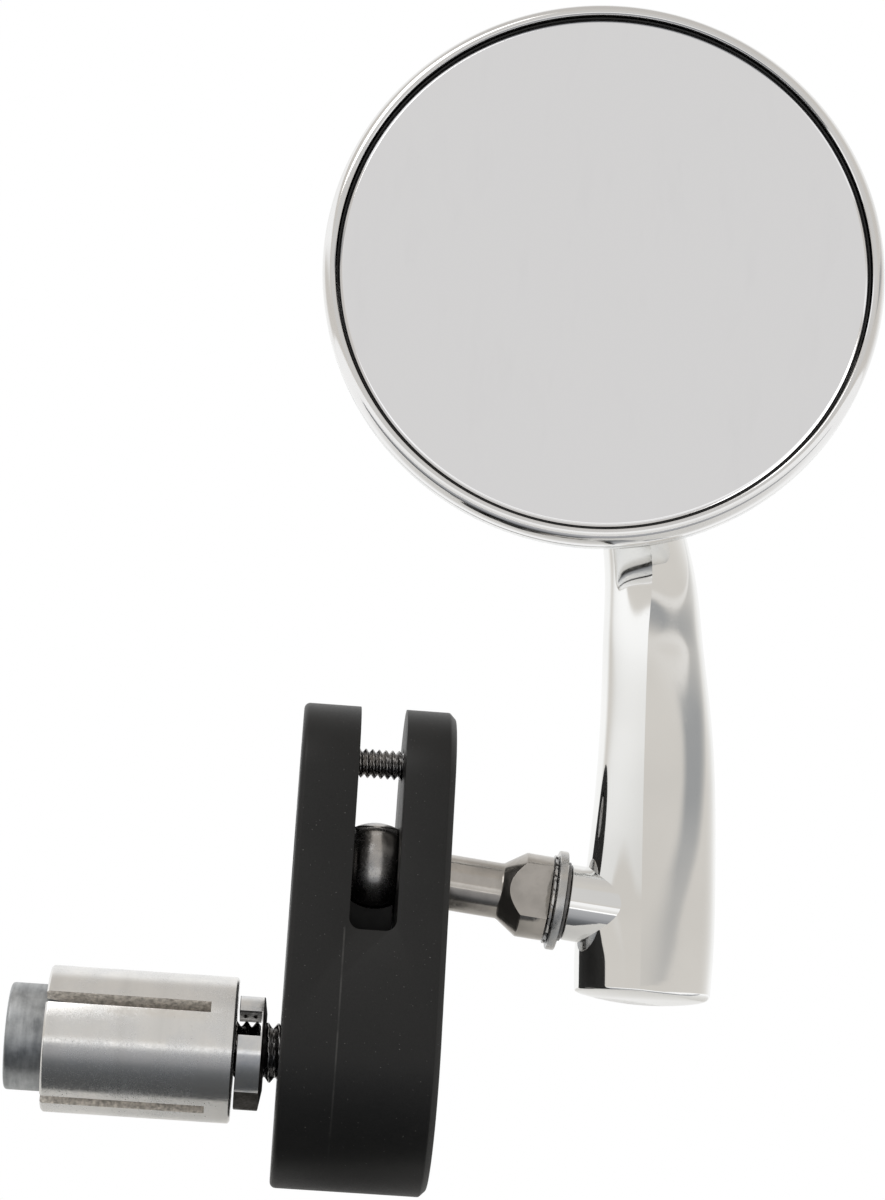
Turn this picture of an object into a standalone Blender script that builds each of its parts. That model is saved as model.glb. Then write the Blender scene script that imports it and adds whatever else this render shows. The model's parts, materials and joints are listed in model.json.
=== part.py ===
"""Bar-end mirror: a clamp arm on an expanding handlebar insert, a ball stud, a stem and a round mirror head.

The frame is in metres. X runs along the handlebar, from the bar out to the mirror's side, Z runs up the
clamp arm, and the glass faces -Y. The origin is on the handlebar's axis, at the face of the arm that the bar
butts on.
"""

from math import asin, atan, cos, hypot, pi, radians, sin, sqrt, tan

import bmesh
import bpy
import numpy as np
from mathutils import Vector

MM = 0.001
GAP = 0.3 * MM
THIN_GAP = 0.2 * MM

# Clamp arm: the hull of two round ends, with its long edges chamfered.
ARM_THICKNESS = 20.6 * MM
ARM_FOOT_RADIUS = 17.6 * MM
ARM_HEAD_RADIUS = 12.6 * MM
ARM_HEAD_HEIGHT = 34.7 * MM
ARM_CHAMFER = 0.7 * MM
SLOT_START = 7.7 * MM
SLOT_END = 13.9 * MM
SLOT_FLOOR = 15.8 * MM
SLOT_CORNER = 1.5 * MM

# Ball and stud. The stud's axis dips from the ball towards the stem.
BALL_CENTRE = Vector((11.0 * MM, 0.0, 25.3 * MM))
BALL_RADIUS = 6.35 * MM
STUD_DIP = radians(5.5)
STUD_RADIUS = 3.75 * MM
STUD_SWING = radians(13.0)
COLLAR_CONE_START = 17.2 * MM
COLLAR_START = 20.1 * MM
COLLAR_END = 23.7 * MM
COLLAR_RADIUS = 5.7 * MM
COLLAR_FLATS = 8.9 * MM
COLLAR_FLAT_TURN = radians(4.0)
STUD_THREAD_RADIUS = 3.2 * MM
STUD_END = 38.4 * MM
TOOTH_WASHER = (5.0 * MM, 6.0 * MM, 0.4 * MM)
FLANGE_WASHER = (6.7 * MM, 1.2 * MM)
THIN_WASHER = (5.35 * MM, 0.4 * MM)
WASHER_GAP = 0.15 * MM
TOOTH_COUNT = 18
RETAINER_RADIUS = 7.0 * MM
RETAINER_RECESS = 0.6 * MM
RETAINER_HEX = 6.0 * MM
RETAINER_HEX_DEPTH = 2.2 * MM
CUP_SPAN = (7.95 * MM, 13.65 * MM)
CUP_BOTTOM = 16.1 * MM
CUP_TOP = 23.4 * MM
CUP_FRONT = -3.6 * MM
CUP_REAR = 10.5 * MM
CUP_CHAMFER = 1.3 * MM

# Pinch screw, across the slot above the ball.
PINCH_HEIGHT = 39.7 * MM
PINCH_RADIUS = 2.0 * MM
PINCH_HEAD_RADIUS = 3.4 * MM
PINCH_COUNTERBORE = 4.0 * MM
PINCH_WASHER_THICKNESS = 0.6 * MM
PINCH_HEX = 2.8 * MM
PINCH_END = 1.6 * MM

# Handlebar bolt with its expanding insert.
BOLT_RADIUS = 3.95 * MM
BOLT_HEAD_RADIUS = 6.4 * MM
BOLT_COUNTERBORE = 10.2 * MM
BOLT_WASHER_THICKNESS = 1.4 * MM
BOLT_HEX = 6.35 * MM
BOLT_END = -35.1 * MM
NUT_NEAR = -1.9 * MM
NUT_FAR = -5.6 * MM
NUT_RADIUS = 7.75 * MM
NUT_TOP = 7.05 * MM
NUT_FLAT = 7.42 * MM
NUT_FLAT_TURN = radians(153.0)
NUT_SLOT = (1.23 * MM, 4.62 * MM)
NUT_SLOT_TURN = radians(-3.6)
NUT_WEB = 0.7 * MM
NUT_CONE = (0.45 * MM, 5.0 * MM)
SLEEVE_RADIUS = 9.65 * MM
SLEEVE_NEAR = -5.9 * MM
SLEEVE_FAR = -30.8 * MM
SLEEVE_BORE = 5.2 * MM
SLEEVE_MOUTH = 7.85 * MM
SLIT_WIDTH = 1.7 * MM
SLIT_END = -9.3 * MM
SLIT_TURN = radians(31.5)
WEDGE_RADIUS = 7.05 * MM
WEDGE_FAR = -35.9 * MM
WEDGE_CONE_START = -31.0 * MM
WEDGE_NEAR = -22.0 * MM
WEDGE_SLOPE = 0.228

# Mirror head. Distances along its axis are the row's Y, and grow from the glass to the back.
HEAD_CENTRE = Vector((37.35 * MM, 0.0, 109.85 * MM))
HEAD_TURN = 4.0 * pi / 180
HEAD_RADIUS = 39.0 * MM
GLASS_RADIUS = 36.45 * MM
GLASS_FRONT = -8.0 * MM
GLASS_THICKNESS = 2.0 * MM
SEAL_INNER = 36.6 * MM
SEAL_OUTER = 37.0 * MM
BEZEL_INNER = 37.15 * MM
BEZEL_FRONT = -8.9 * MM
BEZEL_BACK = -6.1 * MM
SHELL_FRONT = -5.8 * MM
SPIGOT_RADIUS = 38.05 * MM
SPIGOT_BACK = -4.0 * MM
DOME_APEX = 4.5 * MM
DOME_RADIUS = 99.0 * MM
DOME_WALL = 2.0 * MM
DOME_SHOULDER = 37.4 * MM
DOME_LAND = 10.5 * MM
SHELL_LEDGE = 34.6 * MM
PAD_RADIUS = 10.0 * MM
PAD_BACK = 10.2 * MM
STEM_SCREW_RADIUS = 2.5 * MM
STEM_SCREW_HEAD = 4.6 * MM
PIN_RADIUS = 1.2 * MM
PIN_OFFSET = 6.6 * MM

# Stem, at each height: its left edge, right edge and front crease in X, then its front, widest line and back
# in Y.
STEM_STATIONS = (
    # height, left, right, crease, front, widest, back
    (11.0, 39.0, 57.2, 47.0, -7.0, -0.6, 6.0),
    (17.7, 38.8, 57.5, 46.8, -6.6, 0.0, 6.4),
    (29.5, 39.9, 57.3, 46.5, -5.8, 0.4, 6.6),
    (46.0, 40.7, 56.4, 46.2, -4.5, 1.6, 7.2),
    (58.5, 40.6, 54.7, 46.1, -3.5, 2.6, 7.9),
    (71.0, 40.3, 52.8, 46.2, -2.4, 3.6, 8.7),
    (84.0, 38.0, 48.8, 43.3, 1.75, 6.2, 9.6),
    (97.0, 33.6, 43.0, 38.4, 5.0, 7.6, 9.8),
    (107.0, 32.0, 41.0, 36.6, 5.2, 7.8, 9.8),
)
STEM_RINGS = 17
STEM_QUARTER_STEPS = 7
# How far the left, right, front and back of the stem's lower end are rounded, and how its end face leans:
# per unit of X, per unit of Y, and per unit of Y squared behind the middle.
STEM_BOTTOM_ROUNDS = (0.4, 1.1, 0.25, 0.5)
STEM_BOTTOM_RISES = (0.0, 0.25, 0.6, 1.1)
STEM_BOTTOM_LEAN = (0.035, 0.03, 0.0167)
STEM_BOTTOM_FADE = 20.0
STEM_FACET_HANDLE = (0.68, 0.38)
STEM_EDGE_HANDLE = 0.42
CIRCLE_HANDLE = 0.5523

# Stem boss, around the stud's threaded end.
BOSS_FACE = 26.3 * MM
BOSS_EDGE = 0.25 * MM
BOSS_RADIUS = 5.15 * MM
BOSS_DEPTH = 9.5 * MM
STUD_BORE_RADIUS = 3.5 * MM
STUD_BORE_END = 38.8 * MM
STUD_BORE_POINT = 1.5 * MM
PAD_EDGE = (1.2 * MM, 0.9 * MM, 2.0 * MM)
PAD_HOLE_FLOOR = 1.4 * MM

# Smaller parts of the head, its pad and its hidden screw, as distances from an edge unless named otherwise.
SHELL_EDGE = 0.15 * MM
SHELL_ROUND = (1.6 * MM, 0.75 * MM, 0.4 * MM)
LAND_STEP = 0.5 * MM
INNER_LAND = 8.0 * MM
PIN_LENGTH = 3.2 * MM
BEZEL_ROUND = ((1.45 * MM, 0.0), (0.7 * MM, 0.22 * MM), (0.2 * MM, 0.65 * MM), (0.0, 1.2 * MM))
BEZEL_INNER_ROUND = ((0.1 * MM, 0.35 * MM), (0.45 * MM, 0.0))
SEAL_SET_BACK = 0.1 * MM
GLASS_EDGE = (0.4 * MM, 0.3 * MM)
PLATE_THICKNESS = 0.8 * MM
FOAM_RADIUS = 34.0 * MM
PLATE_RADIUS = 36.2 * MM
STEM_WASHER_RADIUS = 4.9 * MM
STEM_SCREW_END = 8.4 * MM
STEM_SCREW_HEIGHT = 2.4 * MM
STEM_SCREW_TOP_RADIUS = 2.8 * MM
STEM_SCREW_RIM = 1.2 * MM
STEM_SCREW_HEX = 3.0 * MM
STEM_SCREW_HEX_DEPTH = 1.3 * MM

# Screw heads and the ends of the insert's parts.
HEAD_INSET = 0.2 * MM
PINCH_RECESS = 0.2 * MM
BOLT_RECESS = 0.3 * MM
NUT_CHAMFER = 0.25 * MM
SLEEVE_CHAMFER = 0.3 * MM
WEDGE_CHAMFER = 0.8 * MM

FINE = 56
MEDIUM = 30
SMALL = 20
WHOLE_TURN = 2.0 * pi
REACH = 40.0 * MM

FINISHES = {
    "black_anodised": ((0.022, 0.022, 0.023), 0.45, 0.6),
    "polished": ((0.86, 0.86, 0.85), 0.06, 1.0),
    "machined": ((0.72, 0.72, 0.71), 0.25, 1.0),
    "cast_zinc": ((0.42, 0.43, 0.44), 0.42, 1.0),
    "stainless": ((0.50, 0.47, 0.44), 0.24, 1.0),
    "dark_steel": ((0.14, 0.13, 0.13), 0.35, 1.0),
    "satin": ((0.70, 0.70, 0.69), 0.3, 1.0),
    "silvered_glass": ((0.80, 0.80, 0.80), 0.02, 1.0),
    "rubber": ((0.012, 0.012, 0.012), 0.6, 0.0),
    "foam": ((0.05, 0.05, 0.05), 0.9, 0.0),
}


def clear_scene():
    for obj in list(bpy.data.objects):
        bpy.data.objects.remove(obj, do_unlink=True)


def finish(name):
    """The Principled material of one finish, made once and shared."""
    material = bpy.data.materials.get(name)
    if material is None:
        colour, roughness, metallic = FINISHES[name]
        material = bpy.data.materials.new(name)
        material.use_nodes = True
        shader = material.node_tree.nodes["Principled BSDF"]
        shader.inputs["Base Color"].default_value = (*colour, 1.0)
        shader.inputs["Roughness"].default_value = roughness
        shader.inputs["Metallic"].default_value = metallic
    return material


def empty(name, location, rotation=(0.0, 0.0, 0.0)):
    obj = bpy.data.objects.new(name, None)
    obj.location = location
    obj.rotation_euler = rotation
    obj.empty_display_size = 10.0 * MM
    bpy.context.collection.objects.link(obj)
    return obj


def solid(name, bm, parent, material=None):
    """Turns a bmesh into an object under its parent. Without a material it is a cutter."""
    bmesh.ops.recalc_face_normals(bm, faces=bm.faces)
    mesh = bpy.data.meshes.new(name)
    bm.to_mesh(mesh)
    bm.free()
    mesh.shade_smooth()
    mesh.set_sharp_from_angle(angle=radians(32.0))
    obj = bpy.data.objects.new(name, mesh)
    bpy.context.collection.objects.link(obj)
    obj.parent = parent
    if material:
        mesh.materials.append(finish(material))
    else:
        obj.hide_render = True
        obj.display_type = "WIRE"
    return obj


def turned(name, section, segments, parent, material=None, ring=False):
    """A solid of revolution about local X, from (along, radius) points. A ring's section closes on itself."""
    bm = bmesh.new()
    loops = []
    for along, radius in section:
        if radius < 1e-7:
            loops.append([bm.verts.new((along, 0.0, 0.0))])
            continue
        angles = (WHOLE_TURN * k / segments for k in range(segments))
        loops.append([bm.verts.new((along, radius * cos(a), radius * sin(a))) for a in angles])
    pairs = list(zip(loops, loops[1:]))
    if ring:
        pairs.append((loops[-1], loops[0]))
    for one, two in pairs:
        for k in range(segments):
            after = k + 1
            corners = (one[k % len(one)], one[after % len(one)], two[after % len(two)], two[k % len(two)])
            distinct = list(dict.fromkeys(corners))
            if len(distinct) > 2:
                bm.faces.new(distinct)
    return solid(name, bm, parent, material)


def loft(name, loops, parent, material=None):
    """A solid through closed loops of equal length, capped at both ends."""
    bm = bmesh.new()
    rows = [[bm.verts.new(point) for point in loop] for loop in loops]
    count = len(rows[0])
    for one, two in zip(rows, rows[1:]):
        for k in range(count):
            after = (k + 1) % count
            bm.faces.new((one[k], one[after], two[after], two[k]))
    bm.faces.new(rows[0])
    bm.faces.new(rows[-1])
    return solid(name, bm, parent, material)


def block(name, low, high, parent, turn=0.0):
    """A box cutter between two corners, turned about local X."""
    bm = bmesh.new()
    bmesh.ops.create_cube(bm, size=1.0)
    for vert in bm.verts:
        vert.co = Vector([(a + b) / 2 + c * (b - a) for a, b, c in zip(low, high, vert.co)])
    obj = solid(name, bm, parent)
    obj.rotation_euler = (turn, 0.0, 0.0)
    return obj


def hexagon(name, flats, start, end, parent, material=None, turn=0.0, chamfer=0.0):
    """A hexagonal prism along local X, with an optional chamfer at both ends."""
    corner = flats / 2 / cos(pi / 6)

    def loop(along, radius):
        angles = (turn + k * pi / 3 for k in range(6))
        return [(along, radius * cos(a), radius * sin(a)) for a in angles]

    loops = [loop(start, corner), loop(end, corner)]
    if chamfer:
        inside = corner - chamfer
        loops = [loop(start, inside), loop(start + chamfer, corner)]
        loops += [loop(end - chamfer, corner), loop(end, inside)]
    return loft(name, loops, parent, material)


def combine(target, tool, operation="DIFFERENCE"):
    """Adds an exact Boolean to the target and hides the tool from the build."""
    tool.hide_render = True
    tool.display_type = "WIRE"
    modifier = target.modifiers.new(tool.name, "BOOLEAN")
    modifier.operation = operation
    modifier.solver = "EXACT"
    modifier.object = tool


def arc(centre, radius, start, end, steps):
    """Points of an arc as (along, radius) pairs or any other plane's pairs, angles in degrees."""
    angles = (radians(start + (end - start) * k / steps) for k in range(steps + 1))
    return [(centre[0] + radius * cos(a), centre[1] + radius * sin(a)) for a in angles]


def arm_outline(inset):
    """The arm's outline in Y and Z: two arcs whose shared tangents are the sides."""
    foot = ARM_FOOT_RADIUS - inset
    head = ARM_HEAD_RADIUS - inset
    lean = asin((ARM_FOOT_RADIUS - ARM_HEAD_RADIUS) / ARM_HEAD_HEIGHT) * 180.0 / pi
    top = arc((0.0, ARM_HEAD_HEIGHT), head, lean, 180.0 - lean, 16)
    return top + arc((0.0, 0.0), foot, 180.0 - lean, 360.0 + lean, 24)


def make_arm(bar_axis):
    stations = (
        (0.0, ARM_CHAMFER),
        (ARM_CHAMFER, 0.0),
        (ARM_THICKNESS - ARM_CHAMFER, 0.0),
        (ARM_THICKNESS, ARM_CHAMFER),
    )
    loops = [[(x, y, z) for y, z in arm_outline(inset)] for x, inset in stations]
    arm = loft("clamp_arm", loops, bar_axis, "black_anodised")

    left_corner = arc((SLOT_START + SLOT_CORNER, SLOT_FLOOR + SLOT_CORNER), SLOT_CORNER, 180.0, 270.0, 4)
    right_corner = arc((SLOT_END - SLOT_CORNER, SLOT_FLOOR + SLOT_CORNER), SLOT_CORNER, 270.0, 360.0, 4)
    top = ARM_HEAD_HEIGHT + REACH
    slot = left_corner + right_corner + [(SLOT_END, top), (SLOT_START, top)]
    combine(arm, loft("slot_cutter", [[(x, y, z) for x, z in slot] for y in (-REACH, REACH)], bar_axis))

    pinch_axis = empty("pinch_axis", (0.0, 0.0, PINCH_HEIGHT))
    holes = (
        ("bolt_hole_cutter", BOLT_RADIUS, BOLT_HEAD_RADIUS, BOLT_COUNTERBORE, MEDIUM, bar_axis),
        ("pinch_hole_cutter", PINCH_RADIUS, PINCH_HEAD_RADIUS, PINCH_COUNTERBORE, SMALL, pinch_axis),
    )
    for name, shank, head, depth, steps, axis in holes:
        floor = ARM_THICKNESS - depth
        hole, counterbore = shank + GAP, head + GAP
        section = [(-REACH, 0.0), (-REACH, hole), (floor, hole), (floor, counterbore)]
        section += [(REACH, counterbore), (REACH, 0.0)]
        combine(arm, turned(name, section, steps, axis))
    return arm, pinch_axis


def make_ball_socket(arm):
    """The socket in the outer prong, the bore in the inner prong and the plug that closes the bore."""
    seat = empty("ball_seat", BALL_CENTRE)
    clear = BALL_RADIUS + GAP
    bore = RETAINER_RADIUS + GAP
    throat = STUD_RADIUS / cos(STUD_SWING) + THIN_GAP
    slope = tan(STUD_SWING)
    # Where the flared throat for the stud meets the socket's sphere.
    meet = (-throat * slope + sqrt(clear**2 * (1 + slope**2) - throat**2)) / (1 + slope**2)
    to_slot = SLOT_END - BALL_CENTRE.x
    edge_angle = asin(to_slot / clear)
    meet_angle = asin(meet / clear)
    angles = [edge_angle + (meet_angle - edge_angle) * k / 4 for k in range(5)]
    socket = [(clear * sin(a), clear * cos(a)) for a in angles]
    mouth = throat + slope * REACH
    inner = to_slot - 1.0 * MM
    section = [(inner, 0.0), (inner, clear * cos(edge_angle)), *socket, (REACH, mouth), (REACH, 0.0)]
    combine(arm, turned("socket_cutter", section, MEDIUM, seat))
    section = [(-REACH, 0.0), (-REACH, bore), (0.0, bore), (0.0, 0.0)]
    combine(arm, turned("retainer_bore_cutter", section, MEDIUM, seat))

    outer = RETAINER_RECESS - BALL_CENTRE.x
    face = SLOT_START - GAP - BALL_CENTRE.x
    rim_angle = asin(-face / clear) * 180.0 / pi
    cup = arc((0.0, 0.0), clear, 90.0 + rim_angle, 180.0, 4)
    chamfer = 0.5 * MM
    section = [(outer, 0.0), (outer, RETAINER_RADIUS - chamfer), (outer + chamfer, RETAINER_RADIUS)]
    section += [(face, RETAINER_RADIUS)] + cup[:-1] + [(-clear, 0.0)]
    plug = turned("ball_retainer_plug", section, MEDIUM, seat, "dark_steel")
    combine(plug, hexagon("retainer_hex_cutter", RETAINER_HEX, -REACH, outer + RETAINER_HEX_DEPTH, seat))
    make_ball_cup(seat)
    return seat


def make_ball_cup(seat):
    """The friction cup on the slot's floor, hollowed to the ball that rests over it."""
    low, high = (edge - BALL_CENTRE.x for edge in CUP_SPAN)
    bottom, top = (height - BALL_CENTRE.z for height in (CUP_BOTTOM, CUP_TOP))
    profile = [(low, bottom + CUP_CHAMFER), (low + CUP_CHAMFER, bottom), (high - CUP_CHAMFER, bottom)]
    profile += [(high, bottom + CUP_CHAMFER), (high, top), (low, top)]
    cup = loft("ball_cup", [[(x, y, z) for x, z in profile] for y in (CUP_FRONT, CUP_REAR)], seat, "rubber")
    section = arc((0.0, 0.0), BALL_RADIUS + GAP, 0.0, 180.0, 14)
    section[0], section[-1] = (BALL_RADIUS + GAP, 0.0), (-BALL_RADIUS - GAP, 0.0)
    combine(cup, turned("cup_hollow_cutter", section, MEDIUM, seat))


def make_ball(seat):
    bm = bmesh.new()
    bmesh.ops.create_uvsphere(bm, u_segments=24, v_segments=14, radius=BALL_RADIUS)
    return solid("ball", bm, seat, "stainless")


def make_stud(stud_axis):
    clear = BALL_RADIUS + GAP
    rim = asin(STUD_RADIUS / clear) * 180.0 / pi
    section = [(clear, 0.0)] + arc((0.0, 0.0), clear, 0.0, rim, 3)[1:]
    section += [(COLLAR_CONE_START, STUD_RADIUS), (COLLAR_START, COLLAR_RADIUS), (COLLAR_END, COLLAR_RADIUS)]
    section += [(COLLAR_END, STUD_THREAD_RADIUS), (STUD_END - 0.6 * MM, STUD_THREAD_RADIUS)]
    section += [(STUD_END, STUD_THREAD_RADIUS - 0.6 * MM), (STUD_END, 0.0)]
    stud = turned("ball_stud", section, MEDIUM, stud_axis, "stainless")
    half = COLLAR_FLATS / 2
    for side, low, high in (("front", -REACH, -half), ("rear", half, REACH)):
        corner_low = (COLLAR_CONE_START - 1.0 * MM, low, -REACH)
        corner_high = (COLLAR_END + THIN_GAP, high, REACH)
        combine(stud, block("collar_flat_" + side, corner_low, corner_high, stud_axis, -COLLAR_FLAT_TURN))


def make_washers(stud_axis):
    """The toothed lock washer, the flange washer and the thin washer, in order along the stud."""
    hole = STUD_THREAD_RADIUS + GAP
    root, tip, thickness = TOOTH_WASHER
    start = COLLAR_END + WASHER_GAP
    count = 4 * TOOTH_COUNT
    radii = [tip if k % 4 in (0, 1) else root for k in range(count)]
    angles = [WHOLE_TURN * k / count for k in range(count)]
    star = [(r * cos(a), r * sin(a)) for r, a in zip(radii, angles)]
    loops = [[(x, y, z) for y, z in star] for x in (start, start + thickness)]
    washer = loft("tooth_washer", loops, stud_axis, "dark_steel")
    section = [(0.0, 0.0), (0.0, hole), (REACH, hole), (REACH, 0.0)]
    combine(washer, turned("tooth_washer_hole", section, SMALL, stud_axis))

    start += thickness + WASHER_GAP
    radius, thickness = FLANGE_WASHER
    flat_ring("flange_washer", start, thickness, hole, radius, stud_axis, "stainless", MEDIUM, 0.15 * MM)
    start += thickness + WASHER_GAP
    radius, thickness = THIN_WASHER
    flat_ring("thin_washer", start, thickness, hole, radius, stud_axis, "dark_steel", MEDIUM, 0.0)


def flat_ring(name, start, thickness, inner, outer, parent, material, segments, chamfer):
    end = start + thickness
    section = [(start, inner), (start, outer - chamfer), (start + chamfer, outer)]
    section += [(end - chamfer, outer), (end, outer - chamfer), (end, inner)]
    if not chamfer:
        section = [(start, inner), (start, outer), (end, outer), (end, inner)]
    return turned(name, section, segments, parent, material, ring=True)


def cap_screw(name, seat, head_radius, head_height, radius, end, hexagon_size, parent, material, segments):
    """A socket head screw along local X, its head on the +X side of its seat."""
    top = seat + head_height
    edge = head_height * 0.08
    tip = radius * 0.15
    section = [(top, 0.0), (top, head_radius - edge), (top - edge, head_radius), (seat, head_radius)]
    section += [(seat, radius), (end + tip, radius), (end, radius - tip), (end, 0.0)]
    screw = turned(name, section, segments, parent, material)
    depth = head_height * 0.55
    combine(screw, hexagon(name + "_hex_cutter", hexagon_size, top - depth, top + REACH, parent))
    return screw


def make_pinch_screw(pinch_axis):
    washer_start = ARM_THICKNESS - PINCH_COUNTERBORE + THIN_GAP
    hole = PINCH_RADIUS + THIN_GAP
    thickness = PINCH_WASHER_THICKNESS
    head = PINCH_HEAD_RADIUS
    flat_ring("pinch_washer", washer_start, thickness, hole, head, pinch_axis, "stainless", SMALL, 0.0)
    seat = washer_start + thickness + THIN_GAP
    height = ARM_THICKNESS - PINCH_RECESS - seat
    shank = (PINCH_RADIUS, PINCH_END, PINCH_HEX)
    cap_screw("pinch_screw", seat, head - HEAD_INSET, height, *shank, pinch_axis, "dark_steel", SMALL)


def make_bar_bolt(bar_axis):
    washer_start = ARM_THICKNESS - BOLT_COUNTERBORE + GAP
    hole = BOLT_RADIUS + GAP
    thickness = BOLT_WASHER_THICKNESS
    head = BOLT_HEAD_RADIUS
    inset = HEAD_INSET
    flat_ring("bar_bolt_washer", washer_start, thickness, hole, head, bar_axis, "stainless", MEDIUM, inset)
    seat = washer_start + thickness + GAP
    height = ARM_THICKNESS - BOLT_RECESS - seat
    shank = (BOLT_RADIUS, BOLT_END, BOLT_HEX)
    cap_screw("bar_bolt", seat, head - HEAD_INSET, height, *shank, bar_axis, "dark_steel", MEDIUM)


def make_insert(bar_axis):
    """Slotted nut, four-fingered expansion sleeve and wedge nut, from the arm outwards along -X."""
    edge = NUT_CHAMFER
    hole = BOLT_RADIUS + GAP
    cone, cone_radius = NUT_CONE
    section = [(NUT_FAR, hole), (NUT_FAR, NUT_RADIUS - edge), (NUT_FAR + edge, NUT_RADIUS)]
    section += [(NUT_NEAR - cone, NUT_RADIUS), (NUT_NEAR, cone_radius), (NUT_NEAR, hole)]
    nut = turned("slotted_nut", section, FINE, bar_axis, "machined", ring=True)
    cuts = (
        ("nut_top_cutter", (NUT_TOP, REACH), NUT_NEAR + MM, 0.0),
        ("nut_flat_cutter", (NUT_FLAT, REACH), NUT_NEAR + MM, NUT_FLAT_TURN),
        ("nut_slot_cutter", NUT_SLOT, NUT_NEAR - NUT_WEB, NUT_SLOT_TURN),
    )
    for name, (low, high), end, turn in cuts:
        combine(nut, block(name, (NUT_FAR - MM, -REACH, low), (end, REACH, high), bar_axis, turn))

    taper_end = SLEEVE_FAR + (SLEEVE_MOUTH - SLEEVE_BORE) / WEDGE_SLOPE
    edge = SLEEVE_CHAMFER
    section = [(SLEEVE_FAR, SLEEVE_MOUTH), (SLEEVE_FAR, SLEEVE_RADIUS - edge)]
    section += [(SLEEVE_FAR + edge, SLEEVE_RADIUS), (SLEEVE_NEAR - edge, SLEEVE_RADIUS)]
    section += [(SLEEVE_NEAR, SLEEVE_RADIUS - edge)]
    section += [(SLEEVE_NEAR, SLEEVE_BORE), (taper_end, SLEEVE_BORE)]
    sleeve = turned("expansion_sleeve", section, FINE, bar_axis, "machined", ring=True)
    for k in range(2):
        corner_low = (SLEEVE_FAR - REACH, -REACH, -SLIT_WIDTH / 2)
        corner_high = (SLIT_END, REACH, SLIT_WIDTH / 2)
        combine(sleeve, block(f"slit_cutter_{k}", corner_low, corner_high, bar_axis, -SLIT_TURN + k * pi / 2))

    edge = WEDGE_CHAMFER
    tip_radius = WEDGE_RADIUS - WEDGE_SLOPE * (WEDGE_NEAR - WEDGE_CONE_START)
    hole = BOLT_RADIUS + GAP
    section = [(WEDGE_FAR, hole), (WEDGE_FAR, WEDGE_RADIUS - edge), (WEDGE_FAR + edge, WEDGE_RADIUS)]
    section += [(WEDGE_CONE_START, WEDGE_RADIUS), (WEDGE_NEAR, tip_radius), (WEDGE_NEAR, hole)]
    turned("wedge_nut", section, MEDIUM, bar_axis, "cast_zinc", ring=True)


def stem_values(height):
    """The stem's six driving lines at one height, smoothed through the stations."""
    table = np.array(STEM_STATIONS)
    heights = table[:, 0]
    slopes = np.gradient(table[:, 1:], heights, axis=0)
    k = int(np.clip(np.searchsorted(heights, height) - 1, 0, len(heights) - 2))
    span = heights[k + 1] - heights[k]
    t = (height - heights[k]) / span
    start, end = table[k, 1:], table[k + 1, 1:]
    blend = start * (2 * t**3 - 3 * t**2 + 1) + end * (3 * t**2 - 2 * t**3)
    return blend + span * (slopes[k] * (t**3 - 2 * t**2 + t) + slopes[k + 1] * (t**3 - t**2))


def bezier(points, steps):
    """Points along a cubic curve, without its last point."""
    p0, p1, p2, p3 = (np.array(p) for p in points)
    ts = [k / steps for k in range(steps)]
    return [(1 - t) ** 3 * p0 + 3 * t * (1 - t) ** 2 * p1 + 3 * t * t * (1 - t) * p2 + t**3 * p3 for t in ts]


def stem_section(height, rise_above=None):
    """One closed loop of the stem: a creased front, two rounded edges and a round back, in millimetres."""
    left, right, crease, front, widest, back = stem_values(height)
    if rise_above is not None:
        inset = [r - sqrt(r * r - max(0.0, r - rise_above) ** 2) for r in STEM_BOTTOM_ROUNDS]
        left, right, front, back = left + inset[0], right - inset[1], front + inset[2], back - inset[3]
    rise = widest - front
    middle = (left + right) / 2
    shoulder = widest + CIRCLE_HANDLE * (back - widest)
    inwards, upwards = STEM_FACET_HANDLE

    def facet(edge):
        handle = (crease + inwards * (edge - crease), front + upwards * rise)
        return ((crease, front), handle, (edge, widest - STEM_EDGE_HANDLE * rise), (edge, widest))

    def rear(edge):
        handle = (middle + CIRCLE_HANDLE * (edge - middle), back)
        return ((edge, widest), (edge, shoulder), handle, (middle, back))

    quarters = (facet(left), rear(left), rear(right)[::-1], facet(right)[::-1])
    return [point for quarter in quarters for point in bezier(quarter, STEM_QUARTER_STEPS)]


def stem_end_drop(x, y, height):
    """How far the leaning end face moves a point of the stem along Z, fading out above the end."""
    across, forward, rearward = STEM_BOTTOM_LEAN
    lowest, left = STEM_STATIONS[0][:2]
    fade = max(0.0, 1.0 - (height - lowest) / STEM_BOTTOM_FADE)
    return -fade * (across * (x - left) + forward * y + rearward * max(0.0, y) ** 2)


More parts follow.
